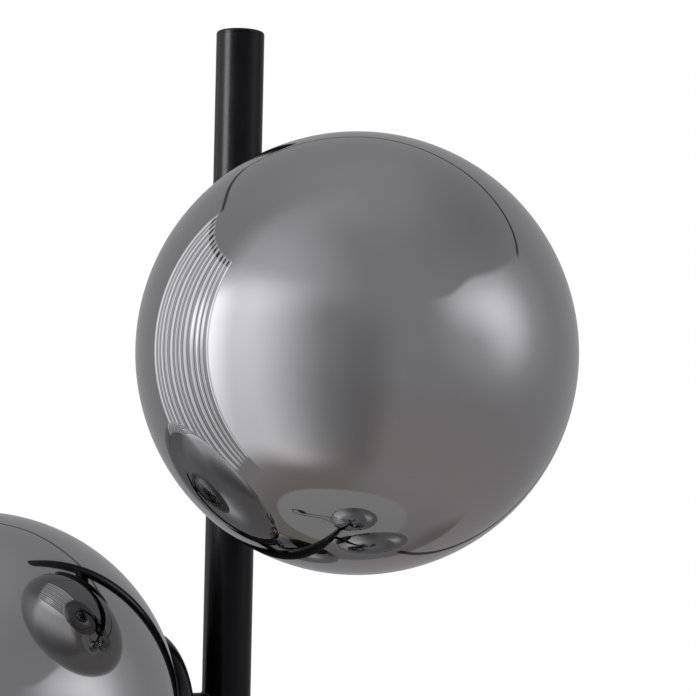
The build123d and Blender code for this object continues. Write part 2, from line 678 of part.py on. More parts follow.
nodes = {
    "pole_lower": pole_section(pole_bottom, pole_joint_low, arms_between(0, pole_joint_low)),
    "pole_middle": pole_section(
        pole_joint_low + FIT, pole_joint_high, arms_between(pole_joint_low, pole_joint_high)
    ),
    "pole_upper": pole_section(
        pole_joint_high + FIT,
        LAMP_HEIGHT - CAP_THICKNESS - FIT,
        arms_between(pole_joint_high, LAMP_HEIGHT),
    ),
    "pole_coupler_low": coupler(pole_joint_low),
    "pole_coupler_high": coupler(pole_joint_high),
    "pole_cap": pole_cap(),
    "pole_foot_insert": foot_insert(),
    "base_cover": base_cover(),
    "base_weight": base_weight(),
    "base_pad": base_pad(),
    "base_collar": foot_collar(),
    "base_tie_tube": tie_tube(),
    "base_fixings": base_fixings(),
    "base_bushing": base_bushing(),
    "wiring": wiring(),
    "arm_nuts": Compound([along_arm(i) * arm_nut() for i in range(GLOBE_COUNT)]),
    "switch_lower": switch_lower(),
    "switch_upper": switch_upper(),
    "switch_button": switch_button(),
    "switch_block": switch_block(),
    "switch_screws": switch_screws(),
    "cord_out": laid_cord("cord_out", OUT_ROUTE),
    "cord_back": laid_cord("cord_back", BACK_ROUTE),
    "cord_coil": cord_coil(),
    "cord_plug_lead": laid_cord("cord_plug_lead", LEAD_ROUTE),
    "cord_tie": coil_tie(),
    "plug_body": plug_body(),
    "plug_pins": plug_pins(),
}
for piece in (arm, holder, screw_collar, socket, bulb, globe):
    shape = piece()
    for i in range(GLOBE_COUNT):
        nodes[f"{piece.__name__}_{i + 1}"] = along_arm(i) * shape

os.makedirs("parts", exist_ok=True)
for name, shape in nodes.items():
    export_step(shape, f"parts/{name}.step")
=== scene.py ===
# %% [markdown]
# # A globe floor lamp, one piece at a time
#
# The lamp is a slim black pole with five smoked mirror-glass globes that wind down it like a
# spiral stair. It stands on a round weighted base, and its cord runs over the floor through a
# foot switch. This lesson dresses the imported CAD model: each visible piece gets a finer mesh of
# its own and a finish made of nodes. Lengths are written in millimetres, as on the drawing, and
# are turned into metres where a mesh is made.

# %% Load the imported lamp
from math import asin, cos, pi, radians, sin, sqrt

import bmesh
import bpy
from mathutils import Matrix, Vector


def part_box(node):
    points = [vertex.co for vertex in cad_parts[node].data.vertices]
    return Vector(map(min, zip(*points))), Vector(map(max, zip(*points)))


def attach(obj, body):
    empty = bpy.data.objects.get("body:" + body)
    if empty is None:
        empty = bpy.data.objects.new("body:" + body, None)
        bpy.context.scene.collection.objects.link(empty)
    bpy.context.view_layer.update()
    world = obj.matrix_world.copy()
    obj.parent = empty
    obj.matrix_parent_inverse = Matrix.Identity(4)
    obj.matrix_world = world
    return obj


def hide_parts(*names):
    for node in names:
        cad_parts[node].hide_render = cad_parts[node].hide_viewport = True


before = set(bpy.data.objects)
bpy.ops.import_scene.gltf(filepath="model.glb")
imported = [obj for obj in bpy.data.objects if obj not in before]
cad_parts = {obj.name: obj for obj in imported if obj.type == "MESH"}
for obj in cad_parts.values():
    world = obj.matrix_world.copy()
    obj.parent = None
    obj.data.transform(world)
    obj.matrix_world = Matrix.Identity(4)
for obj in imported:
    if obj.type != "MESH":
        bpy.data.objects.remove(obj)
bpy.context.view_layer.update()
MM = 0.001

# %% [markdown]
# ## The camera
#
# The photograph looks at the two upper globes from close by and slightly from below the second
# one. Its place, turn and focal length were found by fitting the outlines of the pole and of both
# globes, and what the mirror glass shows of the others. A camera looks along its own -Z, so the
# three columns of its matrix are its right, its up and the reverse of where it looks.

# %% Camera at the photograph's place
CAMERA_PLACE = Vector((44.73, -789.68, 1333.08)) * MM
CAMERA_PITCH, CAMERA_YAW, CAMERA_ROLL = radians(3.311), radians(-0.073), radians(1.063)
FOCAL_PIXELS, PICTURE_PIXELS, SENSOR_WIDTH = 2067.5, 696, 36.0

looks = Vector(
    (
        sin(CAMERA_YAW) * cos(CAMERA_PITCH),
        cos(CAMERA_YAW) * cos(CAMERA_PITCH),
        sin(CAMERA_PITCH),
    )
)
level_right = Vector((cos(CAMERA_YAW), -sin(CAMERA_YAW), 0))
level_up = level_right.cross(looks)
right = cos(CAMERA_ROLL) * level_right + sin(CAMERA_ROLL) * level_up
up = cos(CAMERA_ROLL) * level_up - sin(CAMERA_ROLL) * level_right


def added(name, data):
    """A new object in the scene, made of some data."""
    made = bpy.data.objects.new(name, data)
    bpy.context.scene.collection.objects.link(made)
    return made


view_data = bpy.data.cameras.new("photograph_view")
view_data.sensor_width = SENSOR_WIDTH
view_data.lens = FOCAL_PIXELS * SENSOR_WIDTH / PICTURE_PIXELS
view_data.clip_start, view_data.clip_end = 0.02, 60
photograph_view = added("photograph_view", view_data)
turn = Matrix((right, up, -looks)).transposed().to_4x4()
photograph_view.matrix_world = Matrix.Translation(CAMERA_PLACE) @ turn
bpy.context.scene.camera = photograph_view
print("lens in mm:", round(view_data.lens, 2))

# %% [markdown]
# ## The cord
#
# The lamp's lead is a round flexible cord, 5.5 mm thick. It leaves the back edge of the base
# through a tapering relief, lies on the floor as far as the foot switch, comes back beside
# itself and ends in a neat tied coil with the plug beside it. A cord is best made as a NURBS
# curve of order 3: it has no corners, and a round bevel gives it its thickness. Each list below
# holds control points in millimetres, the same ones as the CAD routes.

# %% Cord on the floor, base to foot switch
CORD_RADIUS = 2.75
FLOOR_Z = 2.80  # a cord that lies on the floor
STRAP_Z = 3.75  # the coil's lower turns, which lie on the tie's strap
SWITCH_X, SWITCH_Y, SWITCH_CORD_Z = -405, 34, 6

cord_to_switch_route = [
    (-153, 0, 9),
    (-182, 0, 9),
    (-216, 3, 3.4),
    (-256, 11, FLOOR_Z),
    (-296, 22, FLOOR_Z),
    (-326, 31, 3.6),
    (-348, SWITCH_Y, SWITCH_CORD_Z),
    (-366, SWITCH_Y, SWITCH_CORD_Z),
]


def laid_cord(name, route):
    """A round cord along the control points of a route, in millimetres."""
    curve = bpy.data.curves.new(name, "CURVE")
    curve.dimensions = "3D"
    spline = curve.splines.new("NURBS")
    spline.points.add(len(route) - 1)
    for place, point in zip(spline.points, route):
        place.co = (*[MM * c for c in point], 1)
    spline.order_u = 3
    spline.use_endpoint_u = True
    curve.resolution_u = 8
    curve.bevel_depth = CORD_RADIUS * MM
    curve.bevel_resolution = 5
    curve.use_fill_caps = True
    return added(name, curve)


cord_to_switch = laid_cord("cord_to_switch", cord_to_switch_route)
print(cord_to_switch.name, "follows", len(cord_to_switch_route), "points")

# %% [markdown]
# The put-away length is wound flat on the floor, climbs once inside, and winds out again on top,
# so both ends of the coil are outside. Its turns are half circles that shrink by half a pitch
# each time. A quadratic spline runs a little inside a ring of control points, so the points
# stand outside the wanted radius by one over the cosine of half their spacing.

# %% Coil and the cord back to it
COIL_X, COIL_TOP_Y, COIL_OUTER_RADIUS = 112, 172, 39
COIL_PITCH = 2 * CORD_RADIUS + 0.5
COIL_HALF_TURNS_IN = 4
POINTS_PER_HALF_TURN = 6


def coil_route():
    """Control points of the coil, clockwise from above, from its top side to its right side."""
    inwards = [COIL_OUTER_RADIUS - COIL_PITCH / 2 * k for k in range(COIL_HALF_TURNS_IN)]
    climb = inwards[-1] - COIL_PITCH / 2
    radii = [*inwards, climb, *inwards[:0:-1], COIL_OUTER_RADIUS]
    spacing = pi / POINTS_PER_HALF_TURN
    points, y, z, side = [], COIL_TOP_Y, STRAP_Z, 1
    for number, radius in enumerate(radii):
        count = POINTS_PER_HALF_TURN // (2 if number == len(radii) - 1 else 1)
        rise = COIL_PITCH if radius == climb else 0
        centre_y = y - side * radius
        for k in range(count):
            angle = spacing * (k + 0.5)
            outside = radius / cos(spacing / 2)
            points.append(
                (
                    COIL_X + side * outside * sin(angle),
                    centre_y + side * outside * cos(angle),
                    z + rise * (1 - cos(angle)) / 2,
                )
            )
        y, z, side = y - 2 * side * radius, z + rise, -side
    return points


cord_to_plug_route = [
    (-444, SWITCH_Y, SWITCH_CORD_Z),
    (-471, SWITCH_Y, SWITCH_CORD_Z),
    (-490, 54, 4.0),
    (-490, 82, FLOOR_Z),
    (-470, 102, FLOOR_Z),
    (-426, 99, FLOOR_Z),
    (-370, 82, FLOOR_Z),
    (-312, 61, FLOOR_Z),
    (-254, 47, FLOOR_Z),
    (-200, 48, FLOOR_Z),
    (-154, 72, FLOOR_Z),
    (-112, 112, FLOOR_Z),
    (-60, 146, FLOOR_Z),
    (0, 165, FLOOR_Z),
    (58, COIL_TOP_Y, STRAP_Z),
    (106.5, COIL_TOP_Y, STRAP_Z),
    *coil_route(),
    (151, 127.5, STRAP_Z + COIL_PITCH),
    (151, 111.86, STRAP_Z + COIL_PITCH),
    (151, 96.68, 6.9),
    (151, 81.5, 6.9),
]
cord_to_plug = laid_cord("cord_to_plug", cord_to_plug_route)
print(cord_to_plug.name, "follows", len(cord_to_plug_route), "points")

# %% [markdown]
# ## Turning round pieces
#
# Nearly every piece of this lamp is made on a lathe or spun over a former: the pole, the base,
# the holders, the globes and the strain reliefs. One helper spins an outline of radius and
# height about Z and stitches rings of quads. Round edges are small arcs in the outline, so the
# light rolls over them as it does over a real edge.

# %% Rings of vertices
ROUND_STEPS = 96
TIP_RADIUS = 1e-6  # a ring narrower than this is one point
SAME_PLACE = 1e-7  # metres; vertices closer than this are merged


def ring_of(bm, points):
    """Adds a vertex at each point, given in millimetres."""
    return [bm.verts.new([MM * c for c in point]) for point in points]


def stitched(bm, rings, closed=False):
    """Joins each ring of vertices to the next one with faces."""
    for low, high in zip(rings, rings[1:] + (rings[:1] if closed else [])):
        for k in range(len(low)):
            corners = list(dict.fromkeys((low[k - 1], low[k], high[k], high[k - 1])))
            if len(corners) > 2:
                bm.faces.new(corners)


def finished_mesh(name, bm, sharp_from=38):
    """Merges doubles, turns the faces outwards and shades smooth, with crisp hard edges."""
    bmesh.ops.remove_doubles(bm, verts=bm.verts, dist=SAME_PLACE)
    bmesh.ops.recalc_face_normals(bm, faces=bm.faces)
    mesh = bpy.data.meshes.new(name)
    bm.to_mesh(mesh)
    bm.free()
    mesh.shade_smooth()
    mesh.set_sharp_from_angle(angle=radians(sharp_from))
    return mesh


print("steps round a piece:", ROUND_STEPS)

# %% A lathe and its tools


def arc(centre, radius, start, end, steps=6):
    """Points of a circular arc in an outline; angles in degrees from outwards to up."""
    angles = [radians(start + (end - start) * k / steps) for k in range(steps + 1)]
    return [(centre[0] + radius * cos(a), centre[1] + radius * sin(a)) for a in angles]


def rim(radius, top, rounding, steps=6, end=90):
    """The rounded outer edge of an outline, from its radius over to its top."""
    return arc((radius - rounding, top - rounding), rounding, 0, end, steps)


def ovals(name, levels, steps=ROUND_STEPS, centre=(0, 0)):
    """A closed mesh through level ovals of (half length, half width, height), in mm."""
    bm = bmesh.new()
    rings = []
    for length, width, height in levels:
        around = steps if length > TIP_RADIUS else 1
        turns = [2 * pi * k / steps for k in range(around)]
        points = [(centre[0] + length * cos(a), centre[1] + width * sin(a), height) for a in turns]
        rings.append(ring_of(bm, points) * (steps // around))
    stitched(bm, rings, closed=True)
    return finished_mesh(name, bm)


def turned(name, outline, steps=ROUND_STEPS):
    """A closed mesh spun from the (radius, height) points of a closed outline, in mm."""
    return ovals(name, [(radius, radius, height) for radius, height in outline], steps)


def shown(name, mesh, finish=None):
    """Puts a mesh into the scene as a piece, with its finish where that is known already."""
    if finish:
        mesh.materials.append(finish)
    return added(name, mesh)


def turned_piece(name, outline, steps=ROUND_STEPS, finish=None):
    """A turned mesh, shown under the same name."""
    return shown(name, turned(name, outline, steps), finish)


print("points on a rounded rim:", len(rim(2, 2, 1)))

# %% [markdown]
# ## The pole
#
# Three lengths of steel tube screw together over couplers and a thin cap closes the top. The
# joints are only hairlines, made by a small chamfer on each tube's end. The cap has a rounded
# rim that catches a thin line of light.

# %% Pole sections and cap
POLE_RADIUS, POLE_BORE_RADIUS = 9.25, 8.05
JOINT_CHAMFER, CAP_SEAM = 0.12, 0.03
CAP_RIM, CAP_THICKNESS, CAP_PLUG_PLAY = 0.9, 1.6, 0.1


def pole_tube(cad_name, top_chamfer):
    """One length of tube in the place of its CAD node, chamfered at both ends."""
    low, high = (corner.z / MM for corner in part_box(cad_name))
    outline = [
        (POLE_BORE_RADIUS, low),
        (POLE_RADIUS - JOINT_CHAMFER, low),
        (POLE_RADIUS, low + JOINT_CHAMFER),
        (POLE_RADIUS, high - top_chamfer),
        (POLE_RADIUS - top_chamfer, high),
        (POLE_BORE_RADIUS, high),
    ]
    return turned(cad_name, outline)


pole_pieces = {}
for part in ("lower", "middle", "upper"):
    top_chamfer = CAP_SEAM if part == "upper" else JOINT_CHAMFER
    piece = shown(f"pole_tube_{part}", pole_tube(f"pole_{part}", top_chamfer))
    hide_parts(f"pole_{part}")
    pole_pieces[part] = piece

cap_low, cap_high = (corner.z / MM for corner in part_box("pole_cap"))
under_cap, plug_radius = cap_high - CAP_THICKNESS, POLE_BORE_RADIUS - CAP_PLUG_PLAY
cap_outline = [
    (0, cap_low),
    (plug_radius, cap_low),
    (plug_radius, under_cap),
    (POLE_RADIUS - CAP_SEAM, under_cap),
    (POLE_RADIUS, under_cap + CAP_SEAM),
    *rim(POLE_RADIUS, cap_high, CAP_RIM),
    (0, cap_high),
]
pole_cap = turned_piece("pole_end_cap", cap_outline)
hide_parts("pole_cap")

# %% [markdown]
# ## The spiral of globes
#
# Each lower globe hangs one drop below the last and a quarter turn further round. That rule is
# the shape of the lamp, so Geometry Nodes carry it out: a line of points along Z and one copy on
# each point, turned by its number. The same tree places the arms, the holders and the glass, and
# later the ribs of the strain reliefs, whose copies aren't turned but narrow by their number. It
# ends in Realize Instances, because only real geometry reaches the export.

# %% A tree that repeats a mesh along Z
REPEAT_INPUTS = {
    "Geometry": "Geometry",
    "Count": "Int",
    **dict.fromkeys(("Start", "Step", "Tilt", "First Turn", "Turn Step", "Narrowing"), "Float"),
    "Finish": "Material",
}


def node(tree, kind, links=(), **settings):
    """Adds a node, sets its properties and default inputs, and links its inputs."""
    made = tree.nodes.new(kind)
    for key, value in settings.items():
        if key.startswith("in_"):
            made.inputs[key[3:].replace("_", " ")].default_value = value
        else:
            setattr(made, key, value)
    for key, socket in dict(links).items():
        tree.links.new(socket, made.inputs[key])
    return made


def repeating_tree():
    """Copies on a line of points, each turned and narrowed by its number."""
    tree = bpy.data.node_groups.new("repeated_along_z", "GeometryNodeTree")
    tree.is_modifier = True
    tree.interface.new_socket("Geometry", in_out="OUTPUT", socket_type="NodeSocketGeometry")
    for label, kind in REPEAT_INPUTS.items():
        tree.interface.new_socket(label, in_out="INPUT", socket_type=f"NodeSocket{kind}")
    given = node(tree, "NodeGroupInput").outputs
    start = node(tree, "ShaderNodeCombineXYZ", {"Z": given["Start"]}).outputs[0]
    step = node(tree, "ShaderNodeCombineXYZ", {"Z": given["Step"]}).outputs[0]
    line = {"Count": given["Count"], "Start Location": start, "Offset": step}
    stations = node(tree, "GeometryNodeMeshLine", line).outputs["Mesh"]

    number = node(tree, "GeometryNodeInputIndex").outputs[0]
    turn = {0: number, 1: given["Turn Step"], 2: given["First Turn"]}
    turn = node(tree, "ShaderNodeMath", turn, operation="MULTIPLY_ADD").outputs[0]
    angles = node(tree, "ShaderNodeCombineXYZ", {"Y": given["Tilt"], "Z": turn}).outputs[0]
    rotation = node(tree, "FunctionNodeEulerToRotation", {0: angles}).outputs[0]
    less = {0: number, 1: given["Narrowing"]}
    less = node(tree, "ShaderNodeMath", less, operation="MULTIPLY").outputs[0]
    width = node(tree, "ShaderNodeMath", {1: less}, operation="SUBTRACT")
    width.inputs[0].default_value = 1
    width = width.outputs[0]
    size = node(tree, "ShaderNodeCombineXYZ", {"X": width, "Y": width}, in_Z=1).outputs[0]

    copy = {"Points": stations, "Instance": given["Geometry"], "Rotation": rotation, "Scale": size}
    copies = node(tree, "GeometryNodeInstanceOnPoints", copy).outputs[0]
    real = node(tree, "GeometryNodeRealizeInstances", {0: copies}).outputs[0]
    finish = {"Geometry": real, "Material": given["Finish"]}
    finished = node(tree, "GeometryNodeSetMaterial", finish).outputs[0]
    node(tree, "NodeGroupOutput", {0: finished})
    return tree


REPEAT = repeating_tree()
print("repeating tree:", len(REPEAT.nodes), "nodes")


# %% Growing a piece with the tree
def repeated(name, mesh, values):
    """Runs the tree on a mesh with its named inputs set, and keeps the result as a plain mesh."""
    piece = shown(name, mesh)
    modifier = piece.modifiers.new("shape", "NODES")
    modifier.node_group = REPEAT
    for item in REPEAT.interface.items_tree:
        if item.in_out == "INPUT" and item.name in values:
            modifier[item.identifier] = values[item.name]
    evaluated = piece.evaluated_get(bpy.context.evaluated_depsgraph_get())
    plain = bpy.data.meshes.new_from_object(evaluated)
    piece.modifiers.clear()
    piece.data = plain
    plain.name = name
    return piece


GLOBE_COUNT, GLOBE_DROP, FIRST_TURN, TURN_STEP = 5, 132, 28 - 90, -90
GLOBE_RADIUS, GLOBE_REACH = 75, 100
TOP_GLOBE_Z = sum(corner.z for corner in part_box("globe_1")) / 2 / MM


def down_the_spiral(name, mesh, finish):
    """Five of one fitting, modelled along +Z from the pole's axis, on the lamp's spiral."""
    spiral = {
        "Count": GLOBE_COUNT,
        "Start": TOP_GLOBE_Z * MM,
        "Step": -GLOBE_DROP * MM,
        "Tilt": pi / 2,
        "First Turn": radians(FIRST_TURN),
        "Turn Step": radians(TURN_STEP),
        "Finish": finish,
    }
    return repeated(name, mesh, spiral)


lowest_globe_z = TOP_GLOBE_Z - GLOBE_DROP * (GLOBE_COUNT - 1)
print("top globe at", round(TOP_GLOBE_Z), "mm, the lowest at", round(lowest_globe_z))

# %% [markdown]
# ## Finishes
#
# A finish is a small tree of nodes round one Principled shader. The plain numbers of a finish
# sit on the shader's own sockets. What varies over a surface comes from noise on Object
# coordinates: a slight unevenness of tone, of gloss and of height, each at its real scale.

# %% Patterns for finishes
NOISE_SPAN = (0.3, 0.7)  # nearly all of a noise lies between these


def new_finish(name, colour, roughness, metallic=0.0, **sockets):
    """A material with one Principled shader and plain values on its sockets."""
    material = bpy.data.materials.new(name)
    material.use_nodes = True
    shader = material.node_tree.nodes["Principled BSDF"]
    shader.inputs["Base Color"].default_value = (*colour, 1)
    shader.inputs["Roughness"].default_value = roughness
    shader.inputs["Metallic"].default_value = metallic
    for key, value in sockets.items():
        shader.inputs[key.replace("_", " ")].default_value = value
    return material


def noise(material, per_metre, detail, stretch=(1, 1, 1)):
    """Noise on Object coordinates, with about per_metre cells in a metre."""
    tree = material.node_tree
    place = node(tree, "ShaderNodeTexCoord").outputs["Object"]
    scaled = node(tree, "ShaderNodeMapping", {"Vector": place}, in_Scale=stretch).outputs[0]
    made = node(
        tree, "ShaderNodeTexNoise", {"Vector": scaled}, in_Scale=per_metre, in_Detail=detail
    )
    return made.outputs["Fac"]


def smooth_step(tree, value, start, end, low, high):
    """Goes smoothly from low to high while a value goes from start to end."""
    step = node(
        tree,
        "ShaderNodeMapRange",
        {"Value": value},
        interpolation_type="SMOOTHSTEP",
        in_From_Min=start,
        in_From_Max=end,
        in_To_Min=low,
        in_To_Max=high,
    )
    return step.outputs["Result"]


def between(material, pattern, low, high):
    """Maps a noise pattern smoothly to a range of values."""
    return smooth_step(material.node_tree, pattern, *NOISE_SPAN, low, high)


def mixed(tree, amount, *colours):
    """A mix of two colours by an amount; each is three numbers or another node's output."""
    mix = node(tree, "ShaderNodeMix", {"Factor": amount}, data_type="RGBA")
    for socket, colour in zip((mix.inputs[6], mix.inputs[7]), colours):
        if isinstance(colour, tuple):
            socket.default_value = (*colour, 1)
        else:
            tree.links.new(colour, socket)
    return mix.outputs[2]


print("noise is read between", *NOISE_SPAN)

# %% What varies over a surface


def tinted(material, per_metre, detail, dark, light):
    """Varies the base colour between two shades."""
    tree = material.node_tree
    amount = between(material, noise(material, per_metre, detail), 0, 1)
    shade = mixed(tree, amount, dark, light)
    tree.links.new(shade, tree.nodes["Principled BSDF"].inputs["Base Color"])


def uneven_gloss(material, per_metre, detail, low, high, stretch=(1, 1, 1)):
    """Varies the roughness between two values."""
    tree = material.node_tree
    rough = between(material, noise(material, per_metre, detail, stretch), low, high)
    tree.links.new(rough, tree.nodes["Principled BSDF"].inputs["Roughness"])


def raised(material, per_metre, detail, depth_mm, strength=1.0):
    """Adds fine relief of a real depth, on top of any relief already there."""
    tree = material.node_tree
    normal = tree.nodes["Principled BSDF"].inputs["Normal"]
    height = noise(material, per_metre, detail)
    bump = node(tree, "ShaderNodeBump", {"Height": height}, in_Strength=strength)
    bump.inputs["Distance"].default_value = depth_mm * MM
    if normal.is_linked:
        tree.links.new(normal.links[0].from_socket, bump.inputs["Normal"])
    tree.links.new(bump.outputs[0], normal)


print("a finish can be", *[change.__name__ for change in (tinted, uneven_gloss, raised)])

# %% [markdown]
# The frame is steel with a fine satin-black powder coat: nearly black, a narrow soft sheen, and
# a faint orange peel a millimetre across. The glass carries a smoky metal film that mirrors
# about four tenths of the light, so it is a metal with a neutral grey colour and almost no
# roughness. The film is never quite even, and wiping leaves faint smears.

# %% Powder coat and smoked mirror
powder_black = new_finish(
    "powder_black",
    (0.0014, 0.0014, 0.0016),
    0.24,
    Specular_IOR_Level=0.21,
    Specular_Tint=(0.94, 0.94, 1.0, 1),
)
tinted(powder_black, 60, 4, (0.0010, 0.0010, 0.0012), (0.0018, 0.0018, 0.0021))
uneven_gloss(powder_black, 240, 2, 0.22, 0.27)
raised(powder_black, 700, 2, 0.003)

smoked_mirror = new_finish("smoked_mirror", (0.42, 0.42, 0.42), 0.01, metallic=1.0)
tinted(smoked_mirror, 9, 2, (0.410, 0.408, 0.409), (0.428, 0.427, 0.429))
uneven_gloss(smoked_mirror, 28, 5, 0.006, 0.016, stretch=(1, 1, 0.35))
print("finishes:", powder_black.name, smoked_mirror.name)

# %% [markdown]
# ## Arms, holders and glass
#
# An arm is a short tube whose end is cut to sit on the round pole, with a small fillet of weld
# under the paint. The holder is a shallow spun dome with a rolled rim that just touches the
# glass. The globe is one shell of glass with an open neck, which the holder hides. All three
# are modelled once, standing up, and the spiral places five of each.

# %% Arms
HOLDER_RADIUS, HOLDER_DEPTH, HOLDER_WALL = 31.5, 13.2, 1.4
RIM_AT = GLOBE_REACH - sqrt(GLOBE_RADIUS**2 - HOLDER_RADIUS**2)
DOME_BACK = RIM_AT - HOLDER_DEPTH
ARM_RADIUS, ARM_STEPS = 7.5, 72
ARM_END = [(ARM_RADIUS, 0.1), (ARM_RADIUS - 0.3, 0.5), (3.0, 0.7)]  # radius, height past the dome
WELD = [(8.6, 0.0), (8.15, 0.12), (7.75, 0.45), (7.55, 0.9), (ARM_RADIUS, 1.5)]  # radius, lift
BORE_SHARE, BORE_LIFT = 0.8, 0.9  # the ring inside the saddle


def saddled_arm():
    """A tube along Z whose first rings lie on the round pole, ending in the dome's back."""
    bm = bmesh.new()
    turns = [2 * pi * k / ARM_STEPS for k in range(ARM_STEPS)]

    def around(radius):
        """Points of a circle, seen along the arm."""
        return [(radius * cos(a), radius * sin(a)) for a in turns]

    rings = []
    for radius, lift in WELD:
        points = [(x, y, sqrt(POLE_RADIUS**2 - y**2) + lift) for x, y in around(radius)]
        rings.append(ring_of(bm, points))
    for radius, past_dome in ARM_END:
        rings.append(ring_of(bm, [(x, y, DOME_BACK + past_dome) for x, y in around(radius)]))
    inner = [
        bm.verts.new((BORE_SHARE * v.co.x, BORE_SHARE * v.co.y, v.co.z + BORE_LIFT * MM))
        for v in rings[0]
    ]
    stitched(bm, [inner, *rings])
    bm.faces.new(rings[-1])
    bm.faces.new(inner)
    return finished_mesh("arm", bm, sharp_from=50)


arms = down_the_spiral("arms", saddled_arm(), powder_black)
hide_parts(*[f"arm_{k + 1}" for k in range(GLOBE_COUNT)])
print("arms:", len(arms.data.polygons), "faces")

# %% Holders
BEAD, BEAD_DROP, BEAD_SWEEP, DOME_STEPS = 0.8, 0.3, 150, 24
HOLDER_HOLE, HOLE_LIFT, TOUCH_PLAY = 5, 0.02, 0.1


def dome(radius, depth):
    """Points of a quarter dome, from beside its middle out to its rim."""
    angles = [radians(90 * k / DOME_STEPS) for k in range(1, DOME_STEPS + 1)]
    return [(radius * sin(a), RIM_AT - depth * cos(a)) for a in angles]


def holder_outline():
    """The spun dome from its centre hole, round the rolled rim, and back inside."""
    inner_radius = HOLDER_RADIUS - HOLDER_WALL
    outside = dome(HOLDER_RADIUS, HOLDER_DEPTH)
    touch = GLOBE_REACH - sqrt((GLOBE_RADIUS + TOUCH_PLAY) ** 2 - inner_radius**2)
    rim = arc((HOLDER_RADIUS - BEAD, RIM_AT - BEAD_DROP), BEAD, 0, BEAD_SWEEP, 8)
    inside = [
        (radius, height)
        for radius, height in reversed(dome(inner_radius, HOLDER_DEPTH - HOLDER_WALL))
        if height < touch - BEAD_DROP
    ]
    hole_back, hole_front = DOME_BACK + HOLE_LIFT, DOME_BACK + HOLDER_WALL
    return [(HOLDER_HOLE, hole_back), *outside[:-1], *rim, *inside, (HOLDER_HOLE, hole_front)]


holders = down_the_spiral("globe_holders", turned("holder", holder_outline()), powder_black)
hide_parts(*[f"holder_{k + 1}" for k in range(GLOBE_COUNT)])
print("holders:", len(holders.data.polygons), "faces")

# %% Glass globes
GLASS_WALL, NECK_RADIUS = 1.8, 24
GLASS_STEPS, GLASS_RINGS, INNER_RINGS = 144, 84, 16
LIP_ROOM = 0.012  # radians
GLASS_SWEEP = pi - asin(NECK_RADIUS / GLOBE_RADIUS) - LIP_ROOM
LIP_PULL, LIP_SHARE = (0.55, 0.45), (0.3, 0.65)  # inwards, and how near to the inner height


def ball(radius, rings):
    """Points of a ball's outline, from its far point round to the neck."""
    angles = [GLASS_SWEEP * k / rings for k in range(rings + 1)]
    return [(radius * sin(a), GLOBE_REACH + radius * cos(a)) for a in angles]


def glass_outline():
    """A ball from its far point round to the neck, a fire-polished lip, and back inside."""
    outside = ball(GLOBE_RADIUS, GLASS_RINGS)
    inside = list(reversed(ball(GLOBE_RADIUS - GLASS_WALL, INNER_RINGS)))
    (out_r, out_z), (lip_r, lip_z) = outside[-1], inside[0]
    lip = [
        (radius - pull, lip_z * near + out_z * (1 - near))
        for radius, pull, near in zip((out_r, lip_r), LIP_PULL, LIP_SHARE)
    ]
    return [*outside, *lip, *inside]


globes = down_the_spiral(
    "glass_globes", turned("globe", glass_outline(), GLASS_STEPS), smoked_mirror
)
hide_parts(*[f"globe_{k + 1}" for k in range(GLOBE_COUNT)])
print("globes:", len(globes.data.polygons), "faces")

# %% [markdown]
# ## The base
#
# The base is a heavy cast disc under a spun steel cover that falls very slightly towards its
# edge. The edge is rolled to a 4 mm radius and runs down to just above the floor, and a soft
# pad lifts it off. A small ring hides the foot of the pole.

# %% Base cover
BASE_RADIUS, BASE_EDGE_TOP, BASE_CENTRE_TOP, BASE_EDGE, COVER_WALL = 125, 19, 22, 4, 1.2
BOTTOM_EDGE, BOTTOM_CHAMFER, INNER_CORNER = 1.0, 0.4, 1.5
COVER_HOLE, EDGE_SLOPE = 5.1, 1.4  # millimetres, degrees
COVER_RINGS = (15, 30, 60, 90, 112)


def cover_height(radius):
    """How high the cover's top is at a radius."""
    return BASE_CENTRE_TOP - (BASE_CENTRE_TOP - BASE_EDGE_TOP) * radius / BASE_RADIUS


def base_outline():
    """The cover from its hole over the top, round the rolled edge, and back inside."""
    inner_radius, under_edge = BASE_RADIUS - COVER_WALL, BASE_EDGE_TOP - COVER_WALL
    rim_top = cover_height(BASE_RADIUS - BASE_EDGE)
    rolled = rim(BASE_RADIUS, rim_top, BASE_EDGE, 12, end=90 - EDGE_SLOPE)
    return [
        (COVER_HOLE, BASE_CENTRE_TOP),
        *[(radius, cover_height(radius)) for radius in COVER_RINGS],
        *reversed(rolled),
        (BASE_RADIUS, BOTTOM_EDGE + BOTTOM_CHAMFER),
        (BASE_RADIUS - BOTTOM_CHAMFER, BOTTOM_EDGE),
        (inner_radius, BOTTOM_EDGE),
        (inner_radius, under_edge - INNER_CORNER),
        (inner_radius - INNER_CORNER, under_edge),
        (COVER_HOLE, BASE_CENTRE_TOP - COVER_WALL),
    ]


base_cover = turned_piece("base_spun_cover", base_outline(), 192)
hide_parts("base_cover")
print("base cover:", len(base_cover.data.polygons), "faces")

# %% Pad and foot ring
PAD_CHAMFER = 0.5
pad_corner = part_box("base_pad")[1] / MM
pad_radius, pad_top = pad_corner.x, pad_corner.z
pad_outline = [
    (0, 0.0),
    (pad_radius - PAD_CHAMFER, 0.0),
    (pad_radius, PAD_CHAMFER),
    (pad_radius, pad_top),
    (0, pad_top),
]
base_pad = turned_piece("base_soft_pad", pad_outline, 128)
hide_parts("base_pad")

